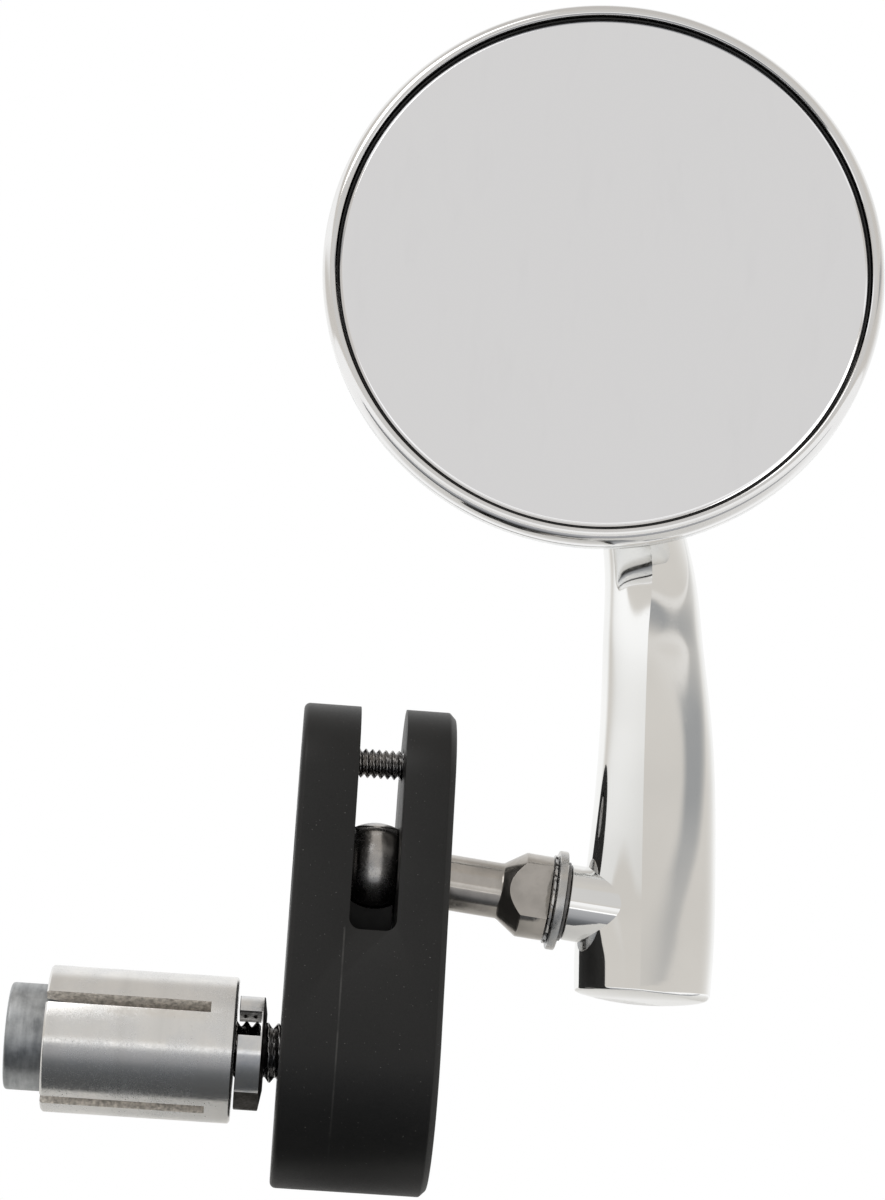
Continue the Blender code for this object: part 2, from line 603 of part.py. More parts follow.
def make_stem(stud_axis, head_axis):
    lowest, highest = STEM_STATIONS[0][0], STEM_STATIONS[-1][0]
    rises = [(lowest + rise, rise) for rise in STEM_BOTTOM_RISES]
    above = rises[-1][0]
    rises += [(above + (highest - above) * (k + 1) / STEM_RINGS, None) for k in range(STEM_RINGS)]
    loops = []
    for height, rise in rises:
        loop = stem_section(height, rise)
        loops.append([(x * MM, y * MM, (height + stem_end_drop(x, y, height)) * MM) for x, y in loop])
    stem = loft("mirror_stem", loops, None, "polished")

    section = [(BOSS_FACE, 0.0), (BOSS_FACE, BOSS_RADIUS - BOSS_EDGE), (BOSS_FACE + BOSS_EDGE, BOSS_RADIUS)]
    section += [(BOSS_FACE + BOSS_DEPTH, BOSS_RADIUS), (BOSS_FACE + BOSS_DEPTH, 0.0)]
    combine(stem, turned("stem_boss", section, MEDIUM, stud_axis), "UNION")
    pad_front = DOME_APEX + GAP
    along, inner, face = PAD_EDGE
    section = [(pad_front, 0.0), (pad_front, PAD_RADIUS), (PAD_BACK - along, PAD_RADIUS)]
    section += [(PAD_BACK - GAP, PAD_RADIUS - inner), (PAD_BACK, PAD_RADIUS - face), (PAD_BACK, 0.0)]
    combine(stem, turned("stem_pad", section, MEDIUM, head_axis), "UNION")
    section = [(0.0, 0.0), (0.0, STUD_BORE_RADIUS), (STUD_BORE_END, STUD_BORE_RADIUS)]
    section += [(STUD_BORE_END + STUD_BORE_POINT, 0.0)]
    combine(stem, turned("stud_bore_cutter", section, SMALL, stud_axis))
    hole = STEM_SCREW_RADIUS + THIN_GAP
    floor = PAD_BACK - PAD_HOLE_FLOOR
    section = [(0.0, 0.0), (0.0, hole), (floor, hole), (floor, 0.0)]
    combine(stem, turned("pad_hole_cutter", section, SMALL, head_axis))
    return stem


def dome(radius, wall=0.0):
    """How far back the shell's outer surface lies at a radius, less a wall."""
    return DOME_APEX - wall - radius**2 / (2 * DOME_RADIUS)


def dome_points(start, end, wall, steps):
    radii = [start + (end - start) * k / steps for k in range(steps + 1)]
    return [(dome(r, wall), r) for r in radii]


def make_head(head_axis):
    hole = STEM_SCREW_RADIUS + THIN_GAP
    inner_face = DOME_APEX - DOME_WALL
    shoulder = dome(DOME_SHOULDER)
    spigot_hole = SPIGOT_RADIUS + THIN_GAP
    ledge = dome(SHELL_LEDGE, DOME_WALL)
    start, middle, cut = SHELL_ROUND
    section = [(SHELL_FRONT, spigot_hole), (SHELL_FRONT, HEAD_RADIUS - SHELL_EDGE)]
    section += [(SHELL_FRONT + SHELL_EDGE, HEAD_RADIUS), (shoulder - start, HEAD_RADIUS)]
    section += [(shoulder - middle, HEAD_RADIUS - cut)]
    section += dome_points(DOME_SHOULDER, DOME_LAND + LAND_STEP, 0.0, 6)
    section += [(DOME_APEX, DOME_LAND), (DOME_APEX, hole), (inner_face, hole), (inner_face, INNER_LAND)]
    section += dome_points(INNER_LAND + MM, SHELL_LEDGE, DOME_WALL, 4)
    section += [(ledge, spigot_hole)]
    shell = turned("head_shell", section, FINE, head_axis, "satin", ring=True)
    pin_place = HEAD_CENTRE + Vector((0.0, 0.0, PIN_OFFSET))
    pin_axis = empty("pin_axis", pin_place, (0.0, 0.0, pi / 2 - HEAD_TURN))
    pin_hole = PIN_RADIUS + THIN_GAP
    pin_start, pin_end = inner_face + THIN_GAP, DOME_APEX + PIN_LENGTH
    section = [(0.0, 0.0), (0.0, pin_hole), (pin_end + THIN_GAP, pin_hole), (pin_end + THIN_GAP, 0.0)]
    pin_cutter = turned("pin_hole_cutter", section, 16, pin_axis)
    combine(shell, pin_cutter)
    combine(bpy.data.objects["mirror_stem"], pin_cutter)
    section = [(pin_start, 0.0), (pin_start, PIN_RADIUS), (pin_end, PIN_RADIUS), (pin_end, 0.0)]
    turned("locating_pin", section, 16, pin_axis, "stainless")

    section = [(BEZEL_BACK, HEAD_RADIUS)]
    section += [(BEZEL_FRONT + along, HEAD_RADIUS - cut) for along, cut in BEZEL_ROUND]
    section += [(BEZEL_FRONT + along, BEZEL_INNER + cut) for along, cut in BEZEL_INNER_ROUND]
    section += [(SPIGOT_BACK, BEZEL_INNER), (SPIGOT_BACK, SPIGOT_RADIUS), (BEZEL_BACK, SPIGOT_RADIUS)]
    turned("bezel_ring", section, FINE, head_axis, "satin", ring=True)

    glass_back = GLASS_FRONT + GLASS_THICKNESS
    seal_front = GLASS_FRONT + SEAL_SET_BACK
    section = [(seal_front, SEAL_INNER), (seal_front, SEAL_OUTER)]
    section += [(glass_back, SEAL_OUTER), (glass_back, SEAL_INNER)]
    turned("seal_ring", section, FINE, head_axis, "rubber", ring=True)
    cut, along = GLASS_EDGE
    section = [(GLASS_FRONT, 0.0), (GLASS_FRONT, GLASS_RADIUS - cut), (GLASS_FRONT + along, GLASS_RADIUS)]
    section += [(glass_back, GLASS_RADIUS), (glass_back, 0.0)]
    turned("mirror_glass", section, FINE, head_axis, "silvered_glass")
    pad_start = glass_back + THIN_GAP
    plate_start = pad_start + PLATE_THICKNESS + THIN_GAP
    disc("foam_pad", pad_start, PLATE_THICKNESS, FOAM_RADIUS, head_axis, "foam")
    disc("backing_plate", plate_start, PLATE_THICKNESS, PLATE_RADIUS, head_axis, "dark_steel")

    washer = PLATE_THICKNESS
    washer_start = inner_face - THIN_GAP - washer
    outer = STEM_WASHER_RADIUS
    flat_ring("stem_screw_washer", washer_start, washer, hole, outer, head_axis, "stainless", SMALL, 0.0)
    seat = washer_start - THIN_GAP
    top = seat - STEM_SCREW_HEIGHT
    section = [(top, 0.0), (top, STEM_SCREW_TOP_RADIUS), (seat - STEM_SCREW_RIM, STEM_SCREW_HEAD)]
    section += [(seat, STEM_SCREW_HEAD), (seat, STEM_SCREW_RADIUS), (STEM_SCREW_END, STEM_SCREW_RADIUS)]
    section += [(STEM_SCREW_END, 0.0)]
    screw = turned("stem_screw", section, SMALL, head_axis, "dark_steel")
    hex_end = top + STEM_SCREW_HEX_DEPTH
    combine(screw, hexagon("stem_screw_hex_cutter", STEM_SCREW_HEX, top - REACH, hex_end, head_axis))


def disc(name, start, thickness, radius, parent, material):
    section = [(start, 0.0), (start, radius), (start + thickness, radius), (start + thickness, 0.0)]
    return turned(name, section, FINE, parent, material)


def main():
    clear_scene()
    bar_axis = empty("bar_axis", (0.0, 0.0, 0.0))
    arm, pinch_axis = make_arm(bar_axis)
    seat = make_ball_socket(arm)
    make_pinch_screw(pinch_axis)
    make_bar_bolt(bar_axis)
    make_insert(bar_axis)
    make_ball(seat)
    stud_axis = empty("stud_axis", BALL_CENTRE, (0.0, STUD_DIP, 0.0))
    make_stud(stud_axis)
    make_washers(stud_axis)
    head_axis = empty("head_axis", HEAD_CENTRE, (0.0, 0.0, pi / 2 - HEAD_TURN))
    make_stem(stud_axis, head_axis)
    make_head(head_axis)


main()
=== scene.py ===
"""Looks of the bar-end mirror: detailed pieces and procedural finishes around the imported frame, in metres."""

import json
from math import asin, ceil, cos, pi, radians, sin, sqrt, tan

import bmesh
import bpy
import numpy as np
from mathutils import Matrix, Vector

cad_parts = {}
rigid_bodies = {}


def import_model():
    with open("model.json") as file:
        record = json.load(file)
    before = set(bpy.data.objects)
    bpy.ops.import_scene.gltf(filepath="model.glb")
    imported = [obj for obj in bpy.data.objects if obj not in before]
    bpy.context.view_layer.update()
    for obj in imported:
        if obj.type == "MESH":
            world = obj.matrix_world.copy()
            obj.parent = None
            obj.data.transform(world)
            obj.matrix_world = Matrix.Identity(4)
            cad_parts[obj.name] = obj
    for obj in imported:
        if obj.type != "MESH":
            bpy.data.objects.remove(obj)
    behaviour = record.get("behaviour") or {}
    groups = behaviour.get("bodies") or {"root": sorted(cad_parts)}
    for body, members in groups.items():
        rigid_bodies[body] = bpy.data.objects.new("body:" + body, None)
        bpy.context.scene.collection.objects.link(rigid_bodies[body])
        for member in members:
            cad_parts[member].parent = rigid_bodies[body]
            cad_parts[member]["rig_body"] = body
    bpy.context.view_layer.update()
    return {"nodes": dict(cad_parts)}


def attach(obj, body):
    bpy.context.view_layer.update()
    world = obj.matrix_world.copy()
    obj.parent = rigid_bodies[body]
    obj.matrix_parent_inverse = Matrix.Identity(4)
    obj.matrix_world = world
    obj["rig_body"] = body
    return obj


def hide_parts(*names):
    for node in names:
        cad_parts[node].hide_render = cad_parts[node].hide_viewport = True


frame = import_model()

MM = 0.001
WHOLE_TURN = 2 * pi

# Sizes are in millimetres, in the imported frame: X runs along the handlebar, Y to the rear and Z up.
ARM_THICKNESS = 20.6
ARM_FOOT_RADIUS = 17.6
ARM_HEAD_RADIUS = 12.6
ARM_HEAD_HEIGHT = 34.7
SLOT = (7.7, 13.9, 15.8)  # left, right, floor
SLOT_CORNER = 1.5
BALL = Vector((11.0, 0.0, 25.3))
BALL_RADIUS = 6.35
STUD_DIP = radians(5.5)
STUD_SWING = radians(13.0)
STUD_RADIUS = 3.75
COLLAR = (17.2, 20.1, 23.7)  # start of its cone, start, end: distances from the ball's centre
COLLAR_RADIUS = 5.7
COLLAR_FLATS = 8.9
COLLAR_FLAT_TURN = radians(4.0)
STUD_THREAD = 3.2
STUD_END = 38.4
RETAINER_RADIUS = 7.0
PINCH_HEIGHT = 39.7
PINCH_RADIUS = 2.0
PINCH_PITCH = 0.9
PINCH_COUNTERBORE = 4.0
BOLT_RADIUS = 3.95
BOLT_PITCH = 1.41
BOLT_COUNTERBORE = 10.2
BOLT_END = -35.1
NUT = (-5.6, -1.9)  # far, near
NUT_RADIUS = 7.75
NUT_TOP = 7.05
NUT_FLAT = 7.42
NUT_FLAT_TURN = radians(153.0)
NUT_SLOT = (1.23, 4.62)  # low, high
NUT_SLOT_TURN = radians(-3.6)
SLEEVE = (-30.8, -5.9)  # far, near
SLEEVE_RADIUS = 9.65
SLIT_WIDTH = 1.7
SLIT_END = -9.3
SLIT_TURN = radians(31.5)
WEDGE = (-35.9, -31.0, -22.0)  # far, start of its cone, near
WEDGE_RADIUS = 7.05
WEDGE_SLOPE = 0.228
HEAD_CENTRE = Vector((37.35, 0.0, 109.85))
HEAD_TURN = radians(4.0)
HEAD_RADIUS = 39.0
GLASS_RADIUS = 36.72
GLASS_FACES = (-8.0, -6.0)  # front, back
SEAL_RADII = (36.78, 37.0)
BEZEL_INNER = 37.15
BEZEL_FRONT = -8.9
DOME_APEX = 4.5
DOME_RADIUS = 99.0
BOSS_FACE = 26.3
BOSS_RADIUS = 5.15
BOSS_DEPTH = 9.5
PAD_RADIUS = 10.0
PAD_BACK = 10.2
SCREW_HOLE = 2.7
PIN_HOLE = 1.4
PIN_HOLE_END = DOME_APEX + 3.4
PIN_HEIGHT = 6.6
GAP = 0.3
THIN_GAP = 0.2
WASHER_GAP = 0.15
REACH = 40.0

# Each axis matrix puts local X along a part's own axis.
BAR = Matrix()
PINCH = Matrix.Translation((0.0, 0.0, PINCH_HEIGHT))
SEAT = Matrix.Translation(BALL)
STUD = SEAT @ Matrix.Rotation(STUD_DIP, 4, "Y")
HEAD_ROTATION = Matrix.Rotation(pi / 2 - HEAD_TURN, 4, "Z")
HEAD = Matrix.Translation(HEAD_CENTRE) @ HEAD_ROTATION
PIN = Matrix.Translation(HEAD_CENTRE + Vector((0.0, 0.0, PIN_HEIGHT))) @ HEAD_ROTATION
STUD_DIRECTION = Vector((cos(STUD_DIP), 0.0, -sin(STUD_DIP)))


# ---------------------------------------------------------------- mesh helpers


def shade(mesh, sharp=30.0):
    """Smooth shading, with a crease at every edge that bends more than an angle in degrees."""
    mesh.shade_smooth()
    mesh.set_sharp_from_angle(angle=radians(sharp))


def to_object(name, bm, place=BAR):
    """An object from a bmesh in millimetres, put where its axis matrix says."""
    bmesh.ops.recalc_face_normals(bm, faces=bm.faces)
    mesh = bpy.data.meshes.new(name)
    bm.to_mesh(mesh)
    bm.free()
    mesh.transform(Matrix.Scale(MM, 4) @ place)
    shade(mesh)
    obj = bpy.data.objects.new(name, mesh)
    bpy.context.scene.collection.objects.link(obj)
    return obj


def rounded(corners, steps=4):
    """A section whose corners (along, radius, cut) are eased by a curve that starts cut before
    each corner.
    """
    points = []
    count = len(corners)
    for k, corner in enumerate(corners):
        here = Vector(corner[:2])
        if len(corner) < 3:
            points.append(tuple(here))
            continue
        before = Vector(corners[k - 1][:2])
        after = Vector(corners[(k + 1) % count][:2])
        start = here + (before - here).normalized() * corner[2]
        end = here + (after - here).normalized() * corner[2]
        for s in range(steps + 1):
            t = s / steps
            points.append(tuple(start * (1 - t) ** 2 + here * 2 * t * (1 - t) + end * t * t))
    return points


def revolve(name, section, place=BAR, segments=144, ring=False):
    """A turned solid about local X from (along, radius) points. A ring's section closes on itself."""
    bm = bmesh.new()
    rows = []
    for along, radius in section:
        if radius < 1e-6:
            rows.append([bm.verts.new((along, 0.0, 0.0))])
            continue
        angles = (WHOLE_TURN * k / segments for k in range(segments))
        rows.append([bm.verts.new((along, radius * cos(a), radius * sin(a))) for a in angles])
    pairs = list(zip(rows, rows[1:]))
    if ring:
        pairs.append((rows[-1], rows[0]))
    for one, two in pairs:
        for k in range(segments):
            after = k + 1
            corners = (one[k % len(one)], one[after % len(one)], two[after % len(two)], two[k % len(two)])
            distinct = list(dict.fromkeys(corners))
            if len(distinct) > 2:
                bm.faces.new(distinct)
    return to_object(name, bm, place)


def loft(name, loops, place=BAR):
    """A solid through closed loops of equal length, capped at both ends."""
    bm = bmesh.new()
    rows = [[bm.verts.new(point) for point in loop] for loop in loops]
    count = len(rows[0])
    for one, two in zip(rows, rows[1:]):
        for k in range(count):
            after = (k + 1) % count
            bm.faces.new((one[k], one[after], two[after], two[k]))
    bm.faces.new(rows[0])
    bm.faces.new(rows[-1])
    return to_object(name, bm, place)


def block(name, low, high, place=BAR, turn=0.0):
    """A box between two corners, turned about local X."""
    bm = bmesh.new()
    bmesh.ops.create_cube(bm, size=1.0)
    for vert in bm.verts:
        vert.co = Vector([(a + b) / 2 + c * (b - a) for a, b, c in zip(low, high, vert.co)])
    return to_object(name, bm, place @ Matrix.Rotation(turn, 4, "X"))


def prism(name, flats, start, end, place=BAR, turn=0.0):
    """A hexagonal bar along local X, from its width across flats."""
    corner = flats / 2 / cos(pi / 6)
    angles = [turn + k * pi / 3 for k in range(6)]
    return loft(name, [[(x, corner * cos(a), corner * sin(a)) for a in angles] for x in (start, end)], place)


def combine(target, tool, operation="DIFFERENCE"):
    """Applies an exact Boolean and removes the tool."""
    modifier = target.modifiers.new("combine", "BOOLEAN")
    modifier.operation = operation
    modifier.solver = "EXACT"
    modifier.object = tool
    graph = bpy.context.evaluated_depsgraph_get()
    mesh = bpy.data.meshes.new_from_object(target.evaluated_get(graph))
    target.modifiers.clear()
    target.data = mesh
    bpy.data.objects.remove(tool)
    shade(mesh)


def drill(target, name, radius, start, end, place, segments):
    """Cuts a plain round hole about local X."""
    section = [(start, 0.0), (start, radius), (end, radius), (end, 0.0)]
    combine(target, revolve(name, section, place, segments))


def ease_edges(obj, width, sharpness, keep=None):
    """Rounds the edges that bend more than an angle in degrees. keep(middle) may leave some out."""
    nearly_zero = 0.002 * MM
    bm = bmesh.new()
    bm.from_mesh(obj.data)
    bmesh.ops.remove_doubles(bm, verts=bm.verts, dist=nearly_zero)
    bmesh.ops.dissolve_degenerate(bm, edges=bm.edges, dist=nearly_zero)
    edges = []
    for edge in bm.edges:
        if len(edge.link_faces) == 2 and edge.calc_face_angle() > radians(sharpness):
            middle = (edge.verts[0].co + edge.verts[1].co) / 2 / MM
            if keep is None or keep(middle):
                edges.append(edge)
    bmesh.ops.bevel(
        bm, geom=edges, offset=width * MM, offset_type="OFFSET", segments=2, profile=0.5, affect="EDGES",
        clamp_overlap=True,
    )
    bm.to_mesh(obj.data)
    bm.free()
    shade(obj.data)


def threaded(name, start, end, major, depth, pitch, place, segments, taper):
    """A screw thread: rings along X whose radius follows a helix. It grows from its root over the
    taper's length.
    """
    steps = 12
    flat_root, flank = 0.1, 0.76
    minor = major - depth
    count = ceil((end - start) / pitch * steps)
    loops = []
    for k in range(count + 1):
        along = start + (end - start) * k / count
        loop = []
        for j in range(segments):
            angle = WHOLE_TURN * j / segments
            phase = (along / pitch - angle / WHOLE_TURN) % 1.0
            crest = 1.0 - abs(2.0 * phase - 1.0)
            height = min(1.0, max(0.0, (crest - flat_root) / flank))
            radius = minor + (major - minor) * min(height, (along - start) / taper)
            loop.append((along, radius * cos(angle), radius * sin(angle)))
        loops.append(loop)
    return loft(name, loops, place)


def join(first, *others):
    """One object from several closed ones."""
    bm = bmesh.new()
    for obj in (first, *others):
        bm.from_mesh(obj.data)
    bm.to_mesh(first.data)
    bm.free()
    for obj in others:
        bpy.data.objects.remove(obj)
    shade(first.data)
    return first


def circle_arc(centre, radius, start, end, steps):
    """Points on an arc between two angles in degrees."""
    angles = (radians(start + (end - start) * k / steps) for k in range(steps + 1))
    return [(centre[0] + radius * cos(a), centre[1] + radius * sin(a)) for a in angles]


# ---------------------------------------------------------------- finishes


class Nodes:
    """Short ways to add nodes to a shader tree."""

    def __init__(self, tree):
        self.tree = tree

    def node(self, kind, values=None, **settings):
        made = self.tree.nodes.new("ShaderNode" + kind)
        for key, value in settings.items():
            setattr(made, key, value)
        for key, value in (values or {}).items():
            self.feed(made.inputs[key], value)
        return made

    def feed(self, socket, value):
        """Links another socket, or sets a value. A colour is given as red, green and blue."""
        if isinstance(value, bpy.types.NodeSocket):
            self.tree.links.new(value, socket)
        elif socket.type == "RGBA":
            socket.default_value = (*value, 1.0)
        else:
            socket.default_value = value

    def maths(self, operation, one, two=0.0):
        return self.node("Math", {0: one, 1: two}, operation=operation).outputs[0]

    def times(self, one, two):
        return self.maths("MULTIPLY", one, two)

    def vector(self, operation, one, two=(0.0, 0.0, 0.0)):
        made = self.node("VectorMath", {0: one, 1: two}, operation=operation)
        return made.outputs["Value" if operation in ("DOT_PRODUCT", "LENGTH") else "Vector"]

    def ramp(self, value, low, high, start=0.0, end=1.0):
        """Maps low..high of a value to start..end, clamped."""
        values = {"Value": value, "From Min": low, "From Max": high, "To Min": start, "To Max": end}
        return self.node("MapRange", values).outputs["Result"]

    def blend(self, share, one, two):
        """Mixes two colours. A Mix node's colours are its inputs 6 and 7 and its output 2."""
        return self.node("Mix", {0: share, 6: one, 7: two}, data_type="RGBA").outputs[2]

    def line(self, value, slope, start):
        """A straight line: value times slope, plus start."""
        return self.node("Math", {0: value, 1: slope, 2: start}, operation="MULTIPLY_ADD").outputs[0]

    def between(self, value, low, high):
        """Rises smoothly from 0 to 1 as the value goes from low to high."""
        values = {"Value": value, "From Min": low, "From Max": high}
        return self.node("MapRange", values, interpolation_type="SMOOTHSTEP").outputs[0]

    def above(self, value, low):
        """How far a value is above a limit, or 0 below it."""
        return self.maths("MAXIMUM", self.maths("SUBTRACT", value, low), 0.0)


class Finish(Nodes):
    """A Principled material with short ways to add detail to it. Noise scales count marks per metre."""

    def __init__(self, name, colour, roughness, metallic=1.0, specular=0.5):
        self.material = bpy.data.materials.new(name)
        self.material.use_nodes = True
        super().__init__(self.material.node_tree)
        self.shader = self.tree.nodes["Principled BSDF"]
        self.set("Base Color", colour)
        self.set("Roughness", roughness)
        self.set("Metallic", metallic)
        self.set("Specular IOR Level", specular)
        self.place = self.node("TexCoord").outputs["Object"]

    def set(self, name, value):
        self.feed(self.shader.inputs[name], value)

    def stretched(self, scale):
        return self.vector("MULTIPLY", self.place, scale)

    def noise(self, scale, detail=3.0, roughness=0.55, source=None):
        values = {"Vector": source or self.place, "Scale": scale, "Detail": detail, "Roughness": roughness}
        return self.node("TexNoise", values).outputs["Fac"]

    def turned_place(self, centre, axis):
        """Position along an axis and distance from it, so that one noise gives tool marks on
        every turned face.
        """
        offset = self.vector("SUBTRACT", self.place, tuple(Vector(centre) * MM))
        along = self.vector("DOT_PRODUCT", offset, tuple(axis))
        scaled = self.node("VectorMath", {0: tuple(axis)}, operation="SCALE")
        self.feed(scaled.inputs["Scale"], along)
        out = self.vector("LENGTH", self.vector("SUBTRACT", offset, scaled.outputs["Vector"]))
        return self.node("CombineXYZ", {"X": along, "Y": out}).outputs[0]

    def bump(self, height, distance, strength=1.0):
        made = self.node("Bump", {"Height": height, "Distance": distance, "Strength": strength})
        before = self.shader.inputs["Normal"]
        if before.is_linked:
            self.feed(made.inputs["Normal"], before.links[0].from_socket)
        self.set("Normal", made.outputs["Normal"])


def anodised_finish():
    """Black bead-blasted anodising with a fine grain, a few bright specks and the tool's witness line."""
    f = Finish("black_anodised", (0.01, 0.01, 0.01), 0.42, 0.0, 0.32)
    grain = f.noise(5200.0, 2.0)
    cloud = f.noise(90.0, 3.0)
    mottle = f.maths("ADD", f.times(grain, 0.6), f.times(cloud, 0.4))
    base = f.blend(f.ramp(mottle, 0.35, 0.65), (0.0068, 0.0068, 0.0068), (0.0122, 0.0121, 0.0119))
    specks = f.ramp(f.noise(3600.0, 1.0), 0.755, 0.8)
    base = f.blend(specks, base, (0.11, 0.11, 0.107))

    line_place, line_half, line_edge = 7.2, 0.05, 0.16
    parts = f.node("SeparateXYZ", {0: f.place})
    off_line = f.maths("ABSOLUTE", f.maths("SUBTRACT", parts.outputs["X"], line_place * MM))
    line = f.ramp(off_line, line_half * MM, line_edge * MM, 1.0, 0.0)
    line = f.times(line, f.ramp(parts.outputs["Z"], -15.0 * MM, 2.0 * MM))
    line = f.times(line, f.ramp(parts.outputs["Z"], 15.6 * MM, 16.2 * MM, 1.0, 0.0))
    line = f.times(line, f.ramp(f.noise(500.0, 2.0), 0.3, 0.6, 0.25, 0.8))
    f.set("Base Color", f.blend(line, base, (0.06, 0.06, 0.058)))
    f.set("Roughness", f.ramp(grain, 0.3, 0.7, 0.36, 0.5))
    f.bump(grain, 0.012 * MM, 0.5)
    return f.material


def polished_finish(name, colour=(0.93, 0.93, 0.92), roughness=0.035, centre=None, axis=None):
    """Bright polished metal: soft waviness, faint haze and a few fine buffing lines."""
    f = Finish(name, colour, roughness)
    haze = f.noise(55.0, 3.0)
    fine = f.noise(2600.0, 2.0)
    f.set("Base Color", f.blend(f.ramp(haze, 0.35, 0.65), tuple(c * 0.95 for c in colour), colour))
    hazy = f.ramp(haze, 0.3, 0.7, roughness, roughness + 0.03)
    f.set("Roughness", f.maths("ADD", hazy, f.ramp(fine, 0.6, 0.8, 0.0, 0.05)))
    f.bump(f.noise(180.0, 1.0), 0.006 * MM, 0.6)
    if axis:
        lines = f.noise(5000.0, 2.0, source=f.turned_place(centre, axis))
        f.bump(lines, 0.0012 * MM, 0.5)
    return f.material


def machined_finish(name, colour, roughness, centre, axis, depth=0.004, mottle=0.12, tint=(0.8, 0.86, 0.95)):
    """Turned metal: tool marks round the axis, fine speckle, and cooler handling stains."""
    f = Finish(name, colour, roughness)
    place = f.turned_place(centre, axis)
    lines = f.noise(3800.0, 4.0, 0.6, source=place)
    broad = f.noise(420.0, 2.0, source=place)
    speckle = f.noise(2400.0, 3.0, 0.7)
    stain = f.noise(190.0, 4.0, 0.6)
    darker = tuple(c * t * (1 - mottle) for c, t in zip(colour, tint))
    base = f.blend(f.ramp(stain, 0.4, 0.68), colour, darker)
    base = f.blend(f.ramp(speckle, 0.62, 0.78, 0.0, 0.5), base, tuple(c * 0.55 for c in colour))
    f.set("Base Color", f.blend(f.ramp(broad, 0.45, 0.7, 0.0, 0.3), base, tuple(c * 0.8 for c in colour)))
    f.set("Roughness", f.ramp(f.maths("ADD", speckle, stain), 0.75, 1.3, roughness * 0.6, roughness * 1.7))
    f.bump(lines, depth * MM, 0.6)
    f.bump(speckle, depth * MM, 0.4)
    return f.material


def cast_finish():
    """Dull grey zinc with mottled streaks and small pits."""
    f = Finish("cast_zinc", (0.4, 0.41, 0.42), 0.42)
    streak = f.noise(1.0, 4.0, 0.6, source=f.stretched((900.0, 160.0, 160.0)))
    cloud = f.noise(330.0, 4.0, 0.65)
    mottle = f.maths("ADD", f.times(streak, 0.45), f.times(cloud, 0.55))
    f.set("Base Color", f.blend(f.ramp(mottle, 0.36, 0.64), (0.24, 0.25, 0.26), (0.56, 0.575, 0.585)))
    f.set("Roughness", f.ramp(cloud, 0.35, 0.65, 0.3, 0.52))
    f.bump(cloud, 0.05 * MM, 0.6)
    f.bump(f.noise(2600.0, 2.0), 0.015 * MM, 0.6)
    return f.material


def glass_finish():
    """Silvered glass: an even mirror with very faint smears."""
    f = Finish("silvered_glass", (0.96, 0.96, 0.98), 0.0)
    smear = f.noise(1.0, 3.0, 0.6, source=f.stretched((260.0, 260.0, 70.0)))
    f.set("Base Color", f.blend(f.ramp(smear, 0.55, 0.75), (0.965, 0.967, 0.985), (0.95, 0.952, 0.97)))
    f.set("Roughness", f.ramp(smear, 0.5, 0.8, 0.012, 0.05))
    return f.material


def plain_finish(name, colour, roughness, scale, depth):
    """A dull grainy surface, for rubber, foam and sawn metal."""
    f = Finish(name, colour, roughness, 0.0, 0.35)
    grain = f.noise(scale, 4.0, 0.65)
    darker, lighter = tuple(c * 0.6 for c in colour), tuple(c * 1.5 for c in colour)
    f.set("Base Color", f.blend(f.ramp(grain, 0.35, 0.65), darker, lighter))
    f.set("Roughness", f.ramp(grain, 0.3, 0.7, roughness * 0.85, min(1.0, roughness * 1.1)))
    f.bump(grain, depth * MM, 0.8)
    return f.material


# A line is the centre and the direction that a piece is turned about.
BAR_LINE = ((0.0, 0.0, 0.0), (1.0, 0.0, 0.0))
PINCH_LINE = ((0.0, 0.0, PINCH_HEIGHT), (1.0, 0.0, 0.0))
STUD_LINE = (tuple(BALL), tuple(STUD_DIRECTION))
HEAD_LINE = (tuple(HEAD_CENTRE), (sin(HEAD_TURN), cos(HEAD_TURN), 0.0))
ANODISED = anodised_finish()
POLISHED = polished_finish("polished_aluminium")
RIM = polished_finish("bezel_aluminium", (0.86, 0.855, 0.85), 0.09, *HEAD_LINE)
SHELL = machined_finish("satin_shell", (0.82, 0.82, 0.81), 0.2, *HEAD_LINE, 0.001, 0.03, (0.97, 0.98, 1.0))
MACHINED = machined_finish("machined_sleeve", (0.84, 0.825, 0.8), 0.2, *BAR_LINE, 0.003, 0.05,
                           (0.95, 0.97, 1.0))
SAW_CUT = plain_finish("sawn_slit", (0.66, 0.625, 0.58), 0.5, 1500.0, 0.01)
# painted shade: a near-black finish for the nut's bore, slot walls, lower flat and near end, where shade falls
NUT_PAINTED_SHADE = machined_finish("nut_painted_shade", (0.09, 0.083, 0.076), 0.45, *BAR_LINE, 0.006, 0.2, (1.0, 1.0, 1.0))
NUT_METAL = machined_finish("machined_nut", (0.8, 0.79, 0.775), 0.16, *BAR_LINE, 0.002)
CAST = cast_finish()
STUD_METAL = machined_finish("stainless_stud", (0.52, 0.49, 0.455), 0.15, *STUD_LINE, 0.003, 0.15,
                             (0.9, 0.9, 0.9))
BALL_METAL = machined_finish("stainless_ball", (0.5, 0.475, 0.45), 0.2, tuple(BALL), (0.0, 0.0, 1.0), 0.004,
                             0.2)
WASHER_METAL = machined_finish("stainless_washer", (0.6, 0.58, 0.55), 0.24, *STUD_LINE, 0.004)
DARK_STUD = machined_finish("dark_stud_washer", (0.2, 0.19, 0.18), 0.3, *STUD_LINE, 0.004)
DARK_BOLT = machined_finish("dark_bolt", (0.3, 0.29, 0.28), 0.2, *BAR_LINE, 0.003)
DARK_SCREW = machined_finish("dark_screw", (0.4, 0.385, 0.37), 0.2, *PINCH_LINE, 0.003)
PLAIN_WASHER = machined_finish("plain_washer", (0.6, 0.6, 0.59), 0.25, *BAR_LINE, 0.003)
HIDDEN_STEEL = machined_finish("hidden_steel", (0.35, 0.35, 0.35), 0.3, *HEAD_LINE, 0.004)
GLASS = glass_finish()
